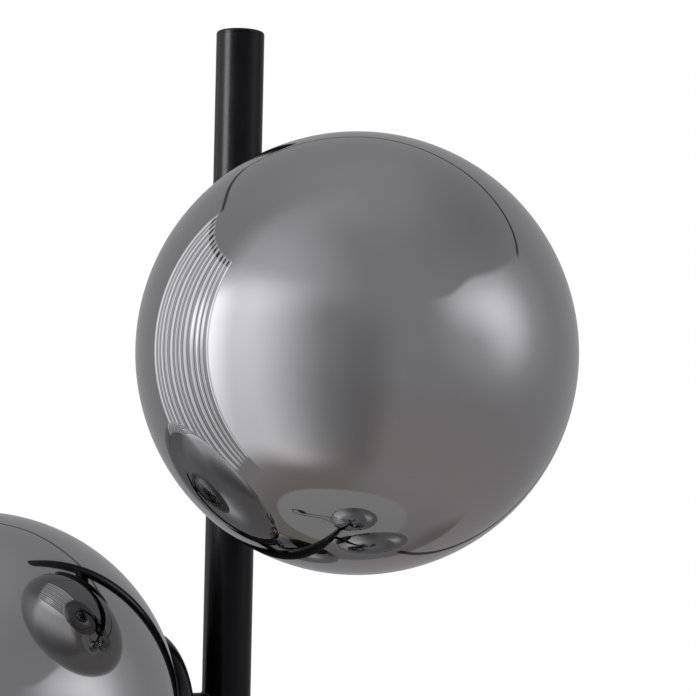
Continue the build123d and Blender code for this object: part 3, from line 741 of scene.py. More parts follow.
RING_ROUND, RING_CHAMFER, RING_PLAY, RING_LIP = 3, 0.3, 0.1, 0.4
ring_low, ring_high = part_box("base_collar")
ring_radius, ring_bottom, ring_top = ring_high.x / MM, ring_low.z / MM, ring_high.z / MM
foot_ring_outline = [
    (POLE_RADIUS + RING_PLAY, ring_bottom),
    (ring_radius - RING_CHAMFER, ring_bottom),
    (ring_radius, ring_bottom + RING_CHAMFER),
    *rim(ring_radius, ring_top, RING_ROUND, 10),
    (POLE_RADIUS + RING_PLAY + RING_LIP, ring_top),
    (POLE_RADIUS + RING_PLAY, ring_top - RING_LIP),
]
foot_ring = turned_piece("pole_foot_ring", foot_ring_outline, 128)
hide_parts("base_collar")
for piece in (base_cover, foot_ring, pole_cap, *pole_pieces.values()):
    piece.data.materials.append(powder_black)
print("foot ring from", round(ring_bottom, 1), "to", round(ring_top, 1), "mm")

# %% [markdown]
# ## Soft black parts
#
# The cord's sheath, the strain relief, the tie and the pad are soft plastic or foam. They are a
# little less black than the frame. The sheath has a dull sheen and shows, very faintly, the lay
# of the cores inside it.

# %% Soft finishes
cord_sheath = new_finish("cord_sheath", (0.012, 0.012, 0.0125), 0.42)
uneven_gloss(cord_sheath, 350, 3, 0.38, 0.5)
raised(cord_sheath, 900, 3, 0.02)
raised(cord_sheath, 90, 1, 0.12, 0.5)

soft_rubber = new_finish("soft_rubber", (0.014, 0.014, 0.0145), 0.55)
uneven_gloss(soft_rubber, 500, 3, 0.5, 0.62)
raised(soft_rubber, 1600, 3, 0.015)

moulded_black = new_finish("moulded_black", (0.010, 0.010, 0.0105), 0.45)
tinted(moulded_black, 1500, 2, (0.0085, 0.0085, 0.009), (0.0125, 0.0125, 0.013))
uneven_gloss(moulded_black, 600, 3, 0.42, 0.5)
raised(moulded_black, 2600, 2, 0.02)

polished_black = new_finish("polished_black", (0.008, 0.008, 0.0085), 0.16, Coat_Weight=0.3)
uneven_gloss(polished_black, 200, 4, 0.12, 0.22)

pad_foam = new_finish("pad_foam", (0.02, 0.02, 0.021), 0.92)
tinted(pad_foam, 900, 3, (0.012, 0.012, 0.0125), (0.03, 0.03, 0.031))
raised(pad_foam, 1400, 3, 0.12)
base_pad.data.materials.append(pad_foam)
for cord in (cord_to_switch, cord_to_plug):
    cord.data.materials.append(cord_sheath)
print("soft finishes:", cord_sheath.name, soft_rubber.name, moulded_black.name)

# %% [markdown]
# ## Strain reliefs
#
# Where a cord enters something hard it is held by a tapering rubber sleeve with ribs, so that it
# bends gently. The ribs repeat and shrink along the taper: one rounded ring goes through the
# repeating tree, on top of a plain tapering core, and both are joined into one moulding.

# %% Ribs, and joining and placing of mouldings


def ribs(name, radius, thickness, count, start, pitch, narrowing, finish, steps=48, depth=1.6):
    """Rounded rings along +Z, each narrower than the one before by a share of the first."""
    half = thickness / 2
    ring = [
        (radius - depth, -half),
        *arc((radius - half, 0), half, -90, 90, 8),
        (radius - depth, half),
    ]
    values = {
        "Count": count,
        "Start": start * MM,
        "Step": pitch * MM,
        "Narrowing": narrowing,
        "Finish": finish,
    }
    return repeated(name, turned(name, ring, steps), values)


def joined(name, pieces):
    """Joins several plain meshes into one piece, and keeps their finishes."""
    finishes = list(dict.fromkeys(m for piece in pieces for m in piece.data.materials))
    bm = bmesh.new()
    for piece in pieces:
        start = len(bm.faces)
        bm.from_mesh(piece.data)
        bm.faces.ensure_lookup_table()
        for face in bm.faces[start:]:
            material = piece.data.materials[face.material_index]
            face.material_index = finishes.index(material)
        bpy.data.objects.remove(piece)
    mesh = bpy.data.meshes.new(name)
    bm.to_mesh(mesh)
    bm.free()
    for material in finishes:
        mesh.materials.append(material)
    return shown(name, mesh)


def placed(piece, place, turn=0.0, axis="Z"):
    """Turns a piece's mesh about an axis through the origin and moves it to a place in mm."""
    move = Matrix.Translation([MM * c for c in place])
    piece.data.transform(move @ Matrix.Rotation(turn, 4, axis))
    return piece


print("ribs are made by the tree", REPEAT.name)

# %% Relief at the base
CORD_EXIT_Z = 9
RELIEF_ROOT, RELIEF_TIP, RELIEF_LENGTH = 5.0, 3.6, 28
FLANGE_RADIUS, FLANGE_THICKNESS, FLANGE_ROUND, RIB_COUNT = 6.5, 2.0, 0.8, 5
INNER_END, INNER_SHOULDER = 20, 4.3  # how far inside the cover's edge

core_outline = [
    (0, BASE_RADIUS - INNER_END),
    (FLANGE_RADIUS, BASE_RADIUS - INNER_END),
    (FLANGE_RADIUS, BASE_RADIUS - INNER_SHOULDER),
    (RELIEF_ROOT, BASE_RADIUS - INNER_SHOULDER),
    (RELIEF_ROOT, BASE_RADIUS + 0.1),
    (FLANGE_RADIUS - 0.3, BASE_RADIUS + 0.1),
    (FLANGE_RADIUS, BASE_RADIUS + 0.4),
    *rim(FLANGE_RADIUS, BASE_RADIUS + FLANGE_THICKNESS + 0.1, FLANGE_ROUND),
    (RELIEF_ROOT - 0.5, BASE_RADIUS + FLANGE_THICKNESS + 0.15),
    (RELIEF_TIP - 0.6, BASE_RADIUS + RELIEF_LENGTH - 0.6),
    (RELIEF_TIP - 0.8, BASE_RADIUS + RELIEF_LENGTH),
    (0, BASE_RADIUS + RELIEF_LENGTH),
]
core = turned_piece("core", core_outline, 64, soft_rubber)
rib_pitch = (RELIEF_LENGTH - FLANGE_THICKNESS) / RIB_COUNT
first_rib = BASE_RADIUS + FLANGE_THICKNESS + 0.32 * rib_pitch
narrowing = (1 - RELIEF_TIP / RELIEF_ROOT) / (RIB_COUNT - 1)
rings = ribs(
    "rings", RELIEF_ROOT, 0.6 * rib_pitch, RIB_COUNT, first_rib, rib_pitch, narrowing, soft_rubber
)
base_relief = joined("base_strain_relief", [core, rings])
placed(base_relief, (0, 0, CORD_EXIT_Z), -pi / 2, "Y")
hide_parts("base_bushing")
print("relief reaches", round(min(v.co.x for v in base_relief.data.vertices) / MM, 1))

# %% [markdown]
# ## The foot switch
#
# A foot switch is two moulded oval shells screwed together, with a short sleeve for the cord at
# each end and a large round button. The shells are rings of an ellipse that shrink as they go
# up and round over, so the crown is smooth. The last rings change from oval to the round hole
# of the button, with a raised bezel round it.

# %% Upper shell
SWITCH_HALF_LENGTH, SWITCH_HALF_WIDTH = 33, 22
SWITCH_SPLIT, SWITCH_TOP, SWITCH_CROWN, SWITCH_SOLE, SWITCH_WALL = 10, 22, 6, 1.5, 2.0
BUTTON_RADIUS, BUTTON_STANDS_OUT, BUTTON_GAP = 13.5, 4, 0.3
BEZEL_WIDTH, BEZEL_HEIGHT = 1.6, 0.8
SEAM_DEPTH, SEAM_RISE = 0.35, 0.05  # the hairline where the shells meet


def inset(amount, height):
    """A level of the switch's outline, pulled in by an amount."""
    return (SWITCH_HALF_LENGTH - amount, SWITCH_HALF_WIDTH - amount, height)


def crown(radius, centre_height, start, end, steps):
    """Levels of a rounded edge."""
    rounded = arc((0, centre_height), radius, start, end, steps)
    return [inset(radius - pulled, height) for pulled, height in rounded]


def circle(radius, height):
    """A round level."""
    return (radius, radius, height)


hole = BUTTON_RADIUS + BUTTON_GAP
bezel, bezel_top, ceiling = hole + BEZEL_WIDTH, SWITCH_TOP + BEZEL_HEIGHT, SWITCH_TOP - SWITCH_WALL
upper_levels = [
    inset(SEAM_DEPTH, SWITCH_SPLIT + SEAM_RISE),
    inset(0.0, SWITCH_SPLIT + SEAM_DEPTH + SEAM_RISE),
    *crown(SWITCH_CROWN, SWITCH_TOP - SWITCH_CROWN, 0, 88, 14),
    (bezel + 1.2, bezel + 1.0, SWITCH_TOP),
    circle(bezel, SWITCH_TOP),
    circle(bezel - 0.3, bezel_top - 0.2),
    circle(bezel - 0.6, bezel_top),
    circle(hole + 0.3, bezel_top),
    circle(hole, bezel_top - 0.3),
    circle(hole, ceiling),
    inset(7.0, ceiling),
    inset(SWITCH_WALL, ceiling - 5),
    inset(SWITCH_WALL, SWITCH_SPLIT + SEAM_RISE),
]
at_switch = {"centre": (SWITCH_X, SWITCH_Y)}
upper_mesh = ovals("switch_upper_shell", upper_levels, **at_switch)
switch_upper = shown("foot_switch_upper_shell", upper_mesh, moulded_black)
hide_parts("switch_upper")
print("upper shell:", len(upper_mesh.polygons), "faces")

# %% Lower shell
lower_levels = [
    inset(SWITCH_WALL, SWITCH_SPLIT),
    inset(SEAM_DEPTH, SWITCH_SPLIT),
    inset(0.0, SWITCH_SPLIT - SEAM_DEPTH),
    *reversed(crown(SWITCH_SOLE, SWITCH_SOLE, -88, 0, 8)),
    inset(10, 0.0),
    circle(0, 0.0),
    circle(0, SWITCH_WALL),
    inset(SWITCH_WALL, SWITCH_WALL),
]
lower_mesh = ovals("switch_lower_shell", lower_levels, **at_switch)
switch_lower = shown("foot_switch_lower_shell", lower_mesh, moulded_black)
print("lower shell:", len(lower_mesh.polygons), "faces")

# %% Cord sleeves of the switch
SLEEVE_RADIUS, SLEEVE_LENGTH, SLEEVE_ROUND, SLEEVE_ROOT_DEPTH = 4.5, 6, 0.8, 3
sleeve_root = SWITCH_HALF_LENGTH - SLEEVE_ROOT_DEPTH
sleeve_end = SWITCH_HALF_LENGTH + SLEEVE_LENGTH
sleeve_outline = [
    (0, sleeve_root),
    (SLEEVE_RADIUS, sleeve_root),
    (SLEEVE_RADIUS, sleeve_end - SLEEVE_ROUND),
    *rim(SLEEVE_RADIUS, sleeve_end, SLEEVE_ROUND),
    (CORD_RADIUS + 0.1, sleeve_end),
    (CORD_RADIUS + 0.1, sleeve_end - 2),
    (0, sleeve_end - 2),
]
sleeves = []
for side in (-1, 1):
    sleeve = turned_piece("sleeve", sleeve_outline, 48, moulded_black)
    sleeves.append(placed(sleeve, (SWITCH_X, SWITCH_Y, SWITCH_CORD_Z), side * pi / 2, "Y"))
switch_lower = joined("foot_switch_lower_shell_and_sleeves", [switch_lower, *sleeves])
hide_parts("switch_lower")
print("sleeves end", sleeve_end, "mm from the switch's middle")

# %% [markdown]
# The button is the only part of the lamp that moves. It has a shallow dish for the toe with
# three raised rings for grip, which the repeating tree makes, each lower and narrower than the
# last.

# %% Foot button
BUTTON_DISH, BUTTON_EDGE, DISH_RADIUS = 1.2, 2.5, 11.8
SKIRT_WIDTH, SKIRT_TOP, SKIRT_BOTTOM = 1.6, 7, 8.6  # the last two below the shell's top
GRIP_RADIUS, GRIP_THICKNESS, GRIP_DEPTH, GRIP_COUNT = 9.8, 0.6, 0.9, 3
GRIP_DROP, GRIP_STEP, GRIP_NARROWING = 0.42, -0.31, 0.27
button_top = SWITCH_TOP + BUTTON_STANDS_OUT
skirt = BUTTON_RADIUS + SKIRT_WIDTH
dish = [
    (radius, button_top - BUTTON_DISH * (1 - (radius / DISH_RADIUS) ** 2))
    for radius in (11.0, 9, 7, 5, 3, 1.5, 0)
]
button_outline = [
    (0, SWITCH_TOP - SKIRT_BOTTOM),
    (skirt, SWITCH_TOP - SKIRT_BOTTOM),
    (skirt, SWITCH_TOP - SKIRT_TOP),
    (BUTTON_RADIUS, SWITCH_TOP - SKIRT_TOP),
    *rim(BUTTON_RADIUS, button_top, BUTTON_EDGE, 10, end=84),
    *dish,
]
button_body = turned_piece("button_body", button_outline, finish=polished_black)
grip_rings = ribs(
    "grip_rings",
    GRIP_RADIUS,
    GRIP_THICKNESS,
    GRIP_COUNT,
    button_top - GRIP_DROP,
    GRIP_STEP,
    GRIP_NARROWING,
    polished_black,
    ROUND_STEPS,
    depth=GRIP_DEPTH,
)
foot_button = joined("foot_switch_button", [button_body, grip_rings])
placed(foot_button, (SWITCH_X, SWITCH_Y, 0))
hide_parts("switch_button")
print("button top at", round(max(v.co.z for v in foot_button.data.vertices) / MM, 2), "mm")

# %% [markdown]
# ## The plug
#
# The plug is one moulding: a flat body with a waist to grip, a ribbed sleeve where the cord
# goes in, and two round pins that are insulated for half their length. The body is a stack of
# rings of one outline that pull in towards its two flat faces, so its edges are soft.

# %% Plug body
PLUG_X, PLUG_Z, PLUG_FACE, PLUG_BACK = 151, 6.9, 23.5, 59.5
PLUG_THICKNESS, PLUG_CORNER, PLUG_EDGE, PLUG_STEPS = 13.7, 2.5, 2.2, 40
SHOULDER = [(0, 17.5), (0.42, 17.5), (0.72, 12.5), (1.0, 9.5)]  # share of length, half width


def plug_half_width(share):
    """The plug's half width along its length, smoothed between its shoulder points."""
    for (at, wide), (to, narrow) in zip(SHOULDER, SHOULDER[1:]):
        if share <= to:
            t = (share - at) / (to - at)
            return wide + (narrow - wide) * t * t * (3 - 2 * t)


def plug_outline():
    """Half widths along the plug's length, with its corners rounded."""
    points = []
    for k in range(PLUG_STEPS + 1):
        y = PLUG_FACE + k / PLUG_STEPS * (PLUG_BACK - PLUG_FACE)
        half = plug_half_width(k / PLUG_STEPS)
        for gap in (y - PLUG_FACE, PLUG_BACK - y):
            if gap < PLUG_CORNER:
                half -= PLUG_CORNER - sqrt(PLUG_CORNER**2 - (PLUG_CORNER - gap) ** 2)
        points.append((half, y))
    return points


def moulded_plug():
    """The outline in a stack of rings, each pulled in by its place on the rounded edge."""
    bm = bmesh.new()
    outline = plug_outline()
    closed = [(w, y) for w, y in outline] + [(-w, y) for w, y in reversed(outline)]
    centre_y = (PLUG_FACE + PLUG_BACK) / 2
    flat = PLUG_THICKNESS / 2 - PLUG_EDGE
    levels = [(PLUG_EDGE - r, -flat - z) for r, z in arc((0, 0), PLUG_EDGE, 90, 0, 8)]
    levels += [(PLUG_EDGE - r, flat + z) for r, z in arc((0, 0), PLUG_EDGE, 0, 90, 8)]
    rings = []
    for pull, z in levels:
        points = []
        for x, y in closed:
            out = Vector((x, y - centre_y))
            out *= max(0.0, 1 - pull / (out.length or 1))
            points.append((PLUG_X + out.x, centre_y + out.y, PLUG_Z + z))
        rings.append(ring_of(bm, points))
    stitched(bm, rings)
    bm.faces.new(rings[0])
    bm.faces.new(rings[-1])
    return finished_mesh("plug_moulding", bm)


plug_moulding = shown("plug_moulding", moulded_plug(), moulded_black)
print("plug from y", PLUG_FACE, "to", PLUG_BACK)

# %% Plug sleeve
SLEEVE_ROOT, SLEEVE_TIP, PLUG_SLEEVE = 5.0, 3.3, 22
PLUG_RIB_COUNT, PLUG_RIB_START, PLUG_RIB_PITCH, PLUG_RIB_NARROWING = 6, 3.2, 3.3, 0.055
plug_core_outline = [
    (0, -3),
    (SLEEVE_ROOT + 0.6, -3),
    (SLEEVE_ROOT + 0.6, 0.8),
    (SLEEVE_ROOT - 0.5, 1.4),
    (SLEEVE_TIP - 0.4, PLUG_SLEEVE - 0.4),
    (SLEEVE_TIP - 0.55, PLUG_SLEEVE),
    (0, PLUG_SLEEVE),
]
plug_core = turned_piece("plug_core", plug_core_outline, 48, soft_rubber)
plug_rings = ribs(
    "plug_rings",
    SLEEVE_ROOT,
    2.0,
    PLUG_RIB_COUNT,
    PLUG_RIB_START,
    PLUG_RIB_PITCH,
    PLUG_RIB_NARROWING,
    soft_rubber,
)
plug_tail = joined("plug_tail", [plug_core, plug_rings])
placed(plug_tail, (PLUG_X, PLUG_BACK, PLUG_Z), -pi / 2, "X")
plug = joined("plug_body_and_sleeve", [plug_moulding, plug_tail])
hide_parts("plug_body")
print("plug:", len(plug.data.polygons), "faces")

# %% Plug pins
PIN_RADIUS, PIN_SPACING, PIN_LENGTH, PIN_TIP = 2.0, 18.6, 19, 1.4
JACKET_STEP, JACKET_END, JACKET_BORE = 0.15, 9.9, 1.2
nickel = new_finish("bright_nickel", (0.66, 0.64, 0.60), 0.18, metallic=1.0)
uneven_gloss(nickel, 700, 4, 0.14, 0.3, stretch=(1, 0.1, 1))
metal_outline = [
    (0, -2),
    (PIN_RADIUS - JACKET_STEP, -2),
    (PIN_RADIUS - JACKET_STEP, JACKET_END - 0.1),
    (PIN_RADIUS, JACKET_END + 0.1),
    *rim(PIN_RADIUS, PIN_LENGTH, PIN_TIP, 8),
    (0, PIN_LENGTH),
]
jacket_outline = [
    (JACKET_BORE, -1),
    (PIN_RADIUS, -1),
    (PIN_RADIUS, JACKET_END - 0.2),
    (PIN_RADIUS - JACKET_STEP, JACKET_END),
    (JACKET_BORE, JACKET_END),
]
pins = []
for side in (-1, 1):
    metal = turned_piece("metal", metal_outline, 40, nickel)
    jacket = turned_piece("jacket", jacket_outline, 40, moulded_black)
    pin = joined("pin", [metal, jacket])
    pins.append(placed(pin, (PLUG_X + side * PIN_SPACING / 2, PLUG_FACE, PLUG_Z), pi / 2, "X"))
plug_pins = joined("plug_pins_with_jackets", pins)
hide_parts("plug_pins")
print("pins:", len(plug_pins.data.polygons), "faces")

# %% [markdown]
# ## The tie round the coil
#
# A flat rubber strap holds the coil's turns on one side. It is a closed loop with rounded
# corners, swept with a small chamfered section.

# %% Coil tie
STRAP_THICKNESS, STRAP_CORNER, STRAP_CHAMFER, CORNER_STEPS = 0.9, 2.4, 0.3, 8
tie_low, tie_high = (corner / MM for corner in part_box("cord_tie"))


def strap_path():
    """Corner centres of the loop in the XZ plane, with the directions round each corner."""
    left, right = tie_low.x + STRAP_CORNER, tie_high.x - STRAP_CORNER
    bottom, top = tie_low.z + STRAP_CORNER, tie_high.z - STRAP_CORNER
    corners = [(right, top, 0), (left, top, 90), (left, bottom, 180), (right, bottom, 270)]
    for x, z, start in corners:
        for k in range(CORNER_STEPS + 1):
            angle = radians(start + 90 * k / CORNER_STEPS)
            yield x, z, cos(angle), sin(angle)


def coil_strap():
    """The strap's section, (across, outwards), at each step of its path."""
    half, thick, cut = (tie_high.y - tie_low.y) / 2, STRAP_THICKNESS, STRAP_CHAMFER
    middle_y = (tie_high.y + tie_low.y) / 2
    outer = [(-half, -cut), (cut - half, 0), (half - cut, 0), (half, -cut)]
    section = [*outer, *[(-across, -thick - depth) for across, depth in outer]]
    bm = bmesh.new()
    rings = []
    for x, z, dx, dz in strap_path():
        points = []
        for across, depth in section:
            reach = STRAP_CORNER + depth
            points.append((x + dx * reach, middle_y + across, z + dz * reach))
        rings.append(ring_of(bm, points))
    stitched(bm, rings, closed=True)
    return finished_mesh("coil_strap", bm)


strap = shown("coil_strap", coil_strap(), soft_rubber)
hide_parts("cord_tie")
print("strap:", len(strap.data.polygons), "faces")

# %% [markdown]
# ## Inner parts that keep their CAD mesh
#
# Couplers, nuts, weight, wiring, sockets, bulbs and the switch's inside are hidden in use. Their
# CAD meshes stay, and each gets the finish of its real material.

# %% Finishes for the inner parts
turned_brass = new_finish("turned_brass", (0.72, 0.52, 0.24), 0.28, metallic=1.0)
uneven_gloss(turned_brass, 900, 3, 0.22, 0.36, stretch=(0.2, 0.2, 1))
zinc_steel = new_finish("zinc_steel", (0.58, 0.59, 0.60), 0.36, metallic=1.0)
tinted(zinc_steel, 220, 4, (0.5, 0.51, 0.53), (0.64, 0.65, 0.64))
uneven_gloss(zinc_steel, 400, 3, 0.3, 0.44)
glazed_white = new_finish("glazed_ceramic", (0.82, 0.80, 0.75), 0.18)
uneven_gloss(glazed_white, 120, 4, 0.12, 0.26)
bulb_glass = new_finish("frosted_bulb", (0.86, 0.85, 0.82), 0.3)
uneven_gloss(bulb_glass, 160, 3, 0.25, 0.4)
cast_iron = new_finish("rough_cast_iron", (0.09, 0.088, 0.085), 0.7, metallic=0.6)
tinted(cast_iron, 90, 5, (0.06, 0.058, 0.056), (0.12, 0.115, 0.11))
raised(cast_iron, 400, 5, 0.3)
lead_sheath = new_finish("inner_lead_sheath", (0.7, 0.69, 0.66), 0.5)
uneven_gloss(lead_sheath, 300, 3, 0.42, 0.58)
block_plastic = new_finish("contact_block_plastic", (0.55, 0.53, 0.48), 0.5)
tinted(block_plastic, 500, 3, (0.5, 0.48, 0.43), (0.6, 0.58, 0.53))

globe_numbers = range(1, GLOBE_COUNT + 1)
collars, sockets, bulbs = (
    [f"{fitting}_{k}" for k in globe_numbers] for fitting in ("screw_collar", "socket", "bulb")
)
steel_nodes = ["pole_foot_insert", "base_tie_tube", "base_fixings", "switch_screws"]
inner_finishes = {
    turned_brass: ["pole_coupler_low", "pole_coupler_high", "arm_nuts", *collars],
    zinc_steel: steel_nodes,
    cast_iron: ["base_weight"],
    lead_sheath: ["wiring"],
    block_plastic: ["switch_block"],
    glazed_white: sockets,
    bulb_glass: bulbs,
}
for finish, names in inner_finishes.items():
    for name in names:
        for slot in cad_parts[name].material_slots:
            slot.material = finish
print("inner parts with a finish:", sum(len(names) for names in inner_finishes.values()))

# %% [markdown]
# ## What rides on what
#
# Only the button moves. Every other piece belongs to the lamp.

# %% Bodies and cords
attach(foot_button, "foot_button")
for piece in (
    arms, holders, globes, base_cover, base_pad, foot_ring, pole_cap, *pole_pieces.values(),
    base_relief, switch_upper, switch_lower, plug, plug_pins, strap, cord_to_switch, cord_to_plug,
):
    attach(piece, "lamp")
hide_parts("cord_out")
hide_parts("cord_back", "cord_coil", "cord_plug_lead")
print("cords:", cord_to_switch.name, "and", cord_to_plug.name)

# %% [markdown]
# ## Studio
#
# A mirror shows the room it stands in, so the studio is half of this lamp's look. The room is
# pale and plain. A large soft light stands far to the left with a sharp edge, a smaller one to
# the right under a darker ceiling, and a pleated screen hangs beside the large one. They are
# smooth shapes over azimuth and elevation in the world's nodes, so they light every surface,
# and the camera sees plain white in their place. All angles are in degrees, with azimuth 0 at
# the camera, and all strengths are shares of a full white.

# %% Helpers for the studio's shapes
world = bpy.data.worlds.new("studio")
bpy.context.scene.world = world
world.use_nodes = True
studio = world.node_tree


def sums(operation, *values):
    """One Math node; plain numbers go into its sockets."""
    made = node(studio, "ShaderNodeMath", operation=operation)
    for socket, value in zip(made.inputs, values):
        if isinstance(value, (int, float)):
            socket.default_value = value
        else:
            studio.links.new(value, socket)
    return made.outputs[0]


def chained(operation, result, *values):
    """One operation between all the values, from the first to the last."""
    for value in values:
        result = sums(operation, result, value)
    return result


def product(*values):
    """All the values multiplied."""
    return chained("MULTIPLY", *values)


def total(*values):
    """All the values added."""
    return chained("ADD", *values)


def less(value, taken):
    """A value with another one taken from it."""
    return sums("SUBTRACT", value, taken)


def apart(value, middle):
    """How far a value is from a middle, on either side."""
    return sums("ABSOLUTE", less(value, middle))


def ramp(value, start, end, low=0.0, high=1.0):
    """A smooth step from low to high while a value goes from start to end."""
    if start > end:
        start, end, low, high = end, start, high, low
    return smooth_step(studio, value, start, end, low, high)


def wave(degrees, period, shift=0.0):
    """A sine over an angle, with its period in degrees."""
    return sums("SINE", sums("MULTIPLY_ADD", degrees, 2 * pi / period, shift))


print("the studio is the world", world.name)

# %% Directions, and a soft oval round one
DEGREES = 180 / pi
looking = node(studio, "ShaderNodeTexCoord").outputs["Generated"]
east, north, height = node(studio, "ShaderNodeSeparateXYZ", {0: looking}).outputs
azimuth = product(sums("ARCTAN2", east, product(north, -1)), DEGREES)
elevation = product(sums("ARCSINE", height), DEGREES)


def patch(at_azimuth, at_elevation, half_width, half_height):
    """A soft oval, 1 at its middle and 0 from its edge outwards."""
    across = sums("DIVIDE", less(azimuth, at_azimuth), half_width)
    upwards = sums("DIVIDE", less(elevation, at_elevation), half_height)
    away = sums("SQRT", total(product(across, across), product(upwards, upwards)))
    return ramp(away, 1, 0)


print("nodes for the directions:", len(studio.nodes))

# %% Room
WALL_STRENGTH = 0.375
ceiling = ramp(elevation, 40, 85, 0, 0.07)
ceiling_glow = product(patch(-35, 74, 70, 22), 0.05)
floor_side = ramp(elevation, 5, -30, 0, -0.05)
dark_ceiling = product(patch(100, 52, 80, 30), -0.08)
dim_front = product(ramp(apart(azimuth, 3), 22, 1), ramp(elevation, 30, 0), -0.09)
room = total(WALL_STRENGTH, ceiling, ceiling_glow, floor_side, dark_ceiling, dim_front)
print("nodes with the room:", len(studio.nodes))

# %% Large light on the left
KEY_STRENGTH, KEY_RISE = 0.96, 0.0055  # at the horizon, and more for each degree up
key_left_edge = ramp(azimuth, -81.4, -80.2)
above_key_foot = less(elevation, ramp(azimuth, -84, -24, -45, -61))
above_key_edge = less(elevation, ramp(azimuth, -92, -58, 18, 31))
key_light = product(
    key_left_edge,
    ramp(azimuth, -12, -60),
    ramp(above_key_foot, -9, 8),
    ramp(elevation, 38, 15),
    ramp(above_key_edge, 1.5, -1.5, 0.88, 1),
    total(KEY_STRENGTH, product(elevation, KEY_RISE)),
)
key_corner = product(key_left_edge, ramp(elevation, 30, 19), patch(-84, 8, 20, 50))
glow_above = product(patch(-56, 30, 66, 50), ramp(azimuth, -96, -70), ramp(elevation, 12, 30), 0.4)
print("nodes with the large light:", len(studio.nodes))

# %% Smaller light on the right
side_edge = ramp(azimuth, 42.7, 70.9, 25.5, 33.3)
below_side_edge = ramp(less(elevation, side_edge), 0, -3.2)
side_middle = product(patch(82.5, 13.2, 23, 25), 0.45)
side_left = product(patch(63.7, 20.7, 27.4, 17.7), 0.39)
side_light = product(below_side_edge, total(side_middle, side_left))
side_glow = product(patch(77.5, 15.7, 49, 39.5), below_side_edge, 0.34)
print("nodes with the smaller light:", len(studio.nodes))

# %% Where the walls meet the ceiling, the floor and each other
right_cornice = total(ramp(azimuth, 78, 152, 25.3, 39), ramp(azimuth, 160, 186, 0, -4.5))
left_cornice_near_screen = sums("MULTIPLY_ADD", azimuth, -0.29, -16.7)
left_cornice = sums("MAXIMUM", ramp(azimuth, -197, -127, 18.5, 40.5), left_cornice_near_screen)
cornice_height = total(
    product(right_cornice, ramp(azimuth, -2, 2)), product(left_cornice, ramp(azimuth, 2, -2))
)
behind = sums("MAXIMUM", ramp(azimuth, 110, 114), ramp(azimuth, -125, -127))
cornice_line = product(ramp(apart(elevation, cornice_height), 0.95, 0.2), behind, -0.29)
wall_corner = product(
    ramp(apart(azimuth, 164), 1.5, 0.6), ramp(elevation, -50, -47), ramp(elevation, 6, -12), -0.26
)
floor_behind = product(
    ramp(sums("ABSOLUTE", azimuth), 128, 146), ramp(elevation, -43.5, -46), -0.13
)
print("nodes with the walls' edges:", len(studio.nodes))

# %% Pleated screen
PLEAT, CREASE_SHARE, CREASE_WANDER = 4.1, 0.37, 2.2
wander = product(wave(azimuth, 17.3), 0.9)
fullness = wave(azimuth, 9.1, 1.2)
ridge = sums("SINE", total(product(azimuth, 2 * pi / PLEAT), wander))
crease_turn = product(azimuth, 2 * pi / (CREASE_SHARE * PLEAT))
crease = sums("SINE", total(crease_turn, product(wander, CREASE_WANDER)))
screen_area = product(
    ramp(azimuth, -127.4, -126.6), ramp(azimuth, -80.6, -81.6), ramp(elevation, -46, -43)
)
below_top = less(elevation, ramp(azimuth, -150, -60, 40.6, 33.6))
hanging = ramp(below_top, 0.2, -0.5)
ridge_light = product(
    ramp(ridge, 0.3, 1), ramp(elevation, -45, 10, 0.5, 0.9), ramp(fullness, -1, 0.8, 0.5, 1)
)
screen_light = total(
    ramp(elevation, -40, 15, 0.16, 0.44),
    ramp(elevation, 12, 34, 0, -0.1),
    ridge_light,
    product(ramp(ridge, -0.3, -1), -0.27),
    product(ramp(crease, 0.2, 1), 0.36),
    product(ramp(crease, -0.2, -1), -0.18),
    product(patch(-89, 10, 11, 14), ramp(ridge, -0.9, 0.6), 1.2),
)
eyelets = product(
    ramp(ridge, -0.1, -0.7), ramp(below_top, -2.9, -2.4), ramp(below_top, -0.3, -0.9), -0.5
)
tape = ramp(below_top, -2.2, -3.0, 0.55, 1)
screen = product(screen_area, hanging, total(product(screen_light, tape), eyelets))
print("nodes with the screen:", len(studio.nodes))

# %% World colour and strength
DARKEST = 0.03
lights = (key_light, key_corner, glow_above, side_light, side_glow)
all_shapes = total(room, *lights, cornice_line, screen, floor_behind, wall_corner)
seen_in_glass = sums("MAXIMUM", all_shapes, DARKEST)
low_at_right = product(ramp(azimuth, -14, 6), ramp(elevation, 0, -45))
low_down = sums("MAXIMUM", ramp(elevation, -40, -56), low_at_right)
tone = mixed(studio, low_down, (0.995, 0.995, 1.05), (1.08, 0.99, 1.0))
for_camera = node(studio, "ShaderNodeLightPath").outputs["Is Camera Ray"]
colour = mixed(studio, for_camera, tone, (1, 1, 1))
strength = total(product(less(1, for_camera), seen_in_glass), for_camera)
background = studio.nodes["Background"]
studio.links.new(strength, background.inputs["Strength"])
studio.links.new(colour, background.inputs["Color"])
print("studio nodes:", len(studio.nodes))

# %% [markdown]
# The floor is pale paper. For the camera it fades to plain white away from the lamp and keeps the
# lamp's shadow near it. In the mirrors it is a small sheet, so that the room and its lights show
# right down to its edge, a little warmer and darker than the middle.

# %% Floor
FLOOR_RADIUS, BELOW_FEET = 7.0, 0.3 * MM
floor_bm = bmesh.new()
bmesh.ops.create_circle(floor_bm, cap_ends=True, segments=ROUND_STEPS, radius=FLOOR_RADIUS)
floor_mesh = bpy.data.meshes.new("studio_floor")
floor_bm.to_mesh(floor_mesh)
floor_bm.free()
floor_mesh.transform(Matrix.Translation((0, 0, -BELOW_FEET)))
studio_floor = shown("studio_floor", floor_mesh)
print("floor:", 2 * FLOOR_RADIUS, "m across")

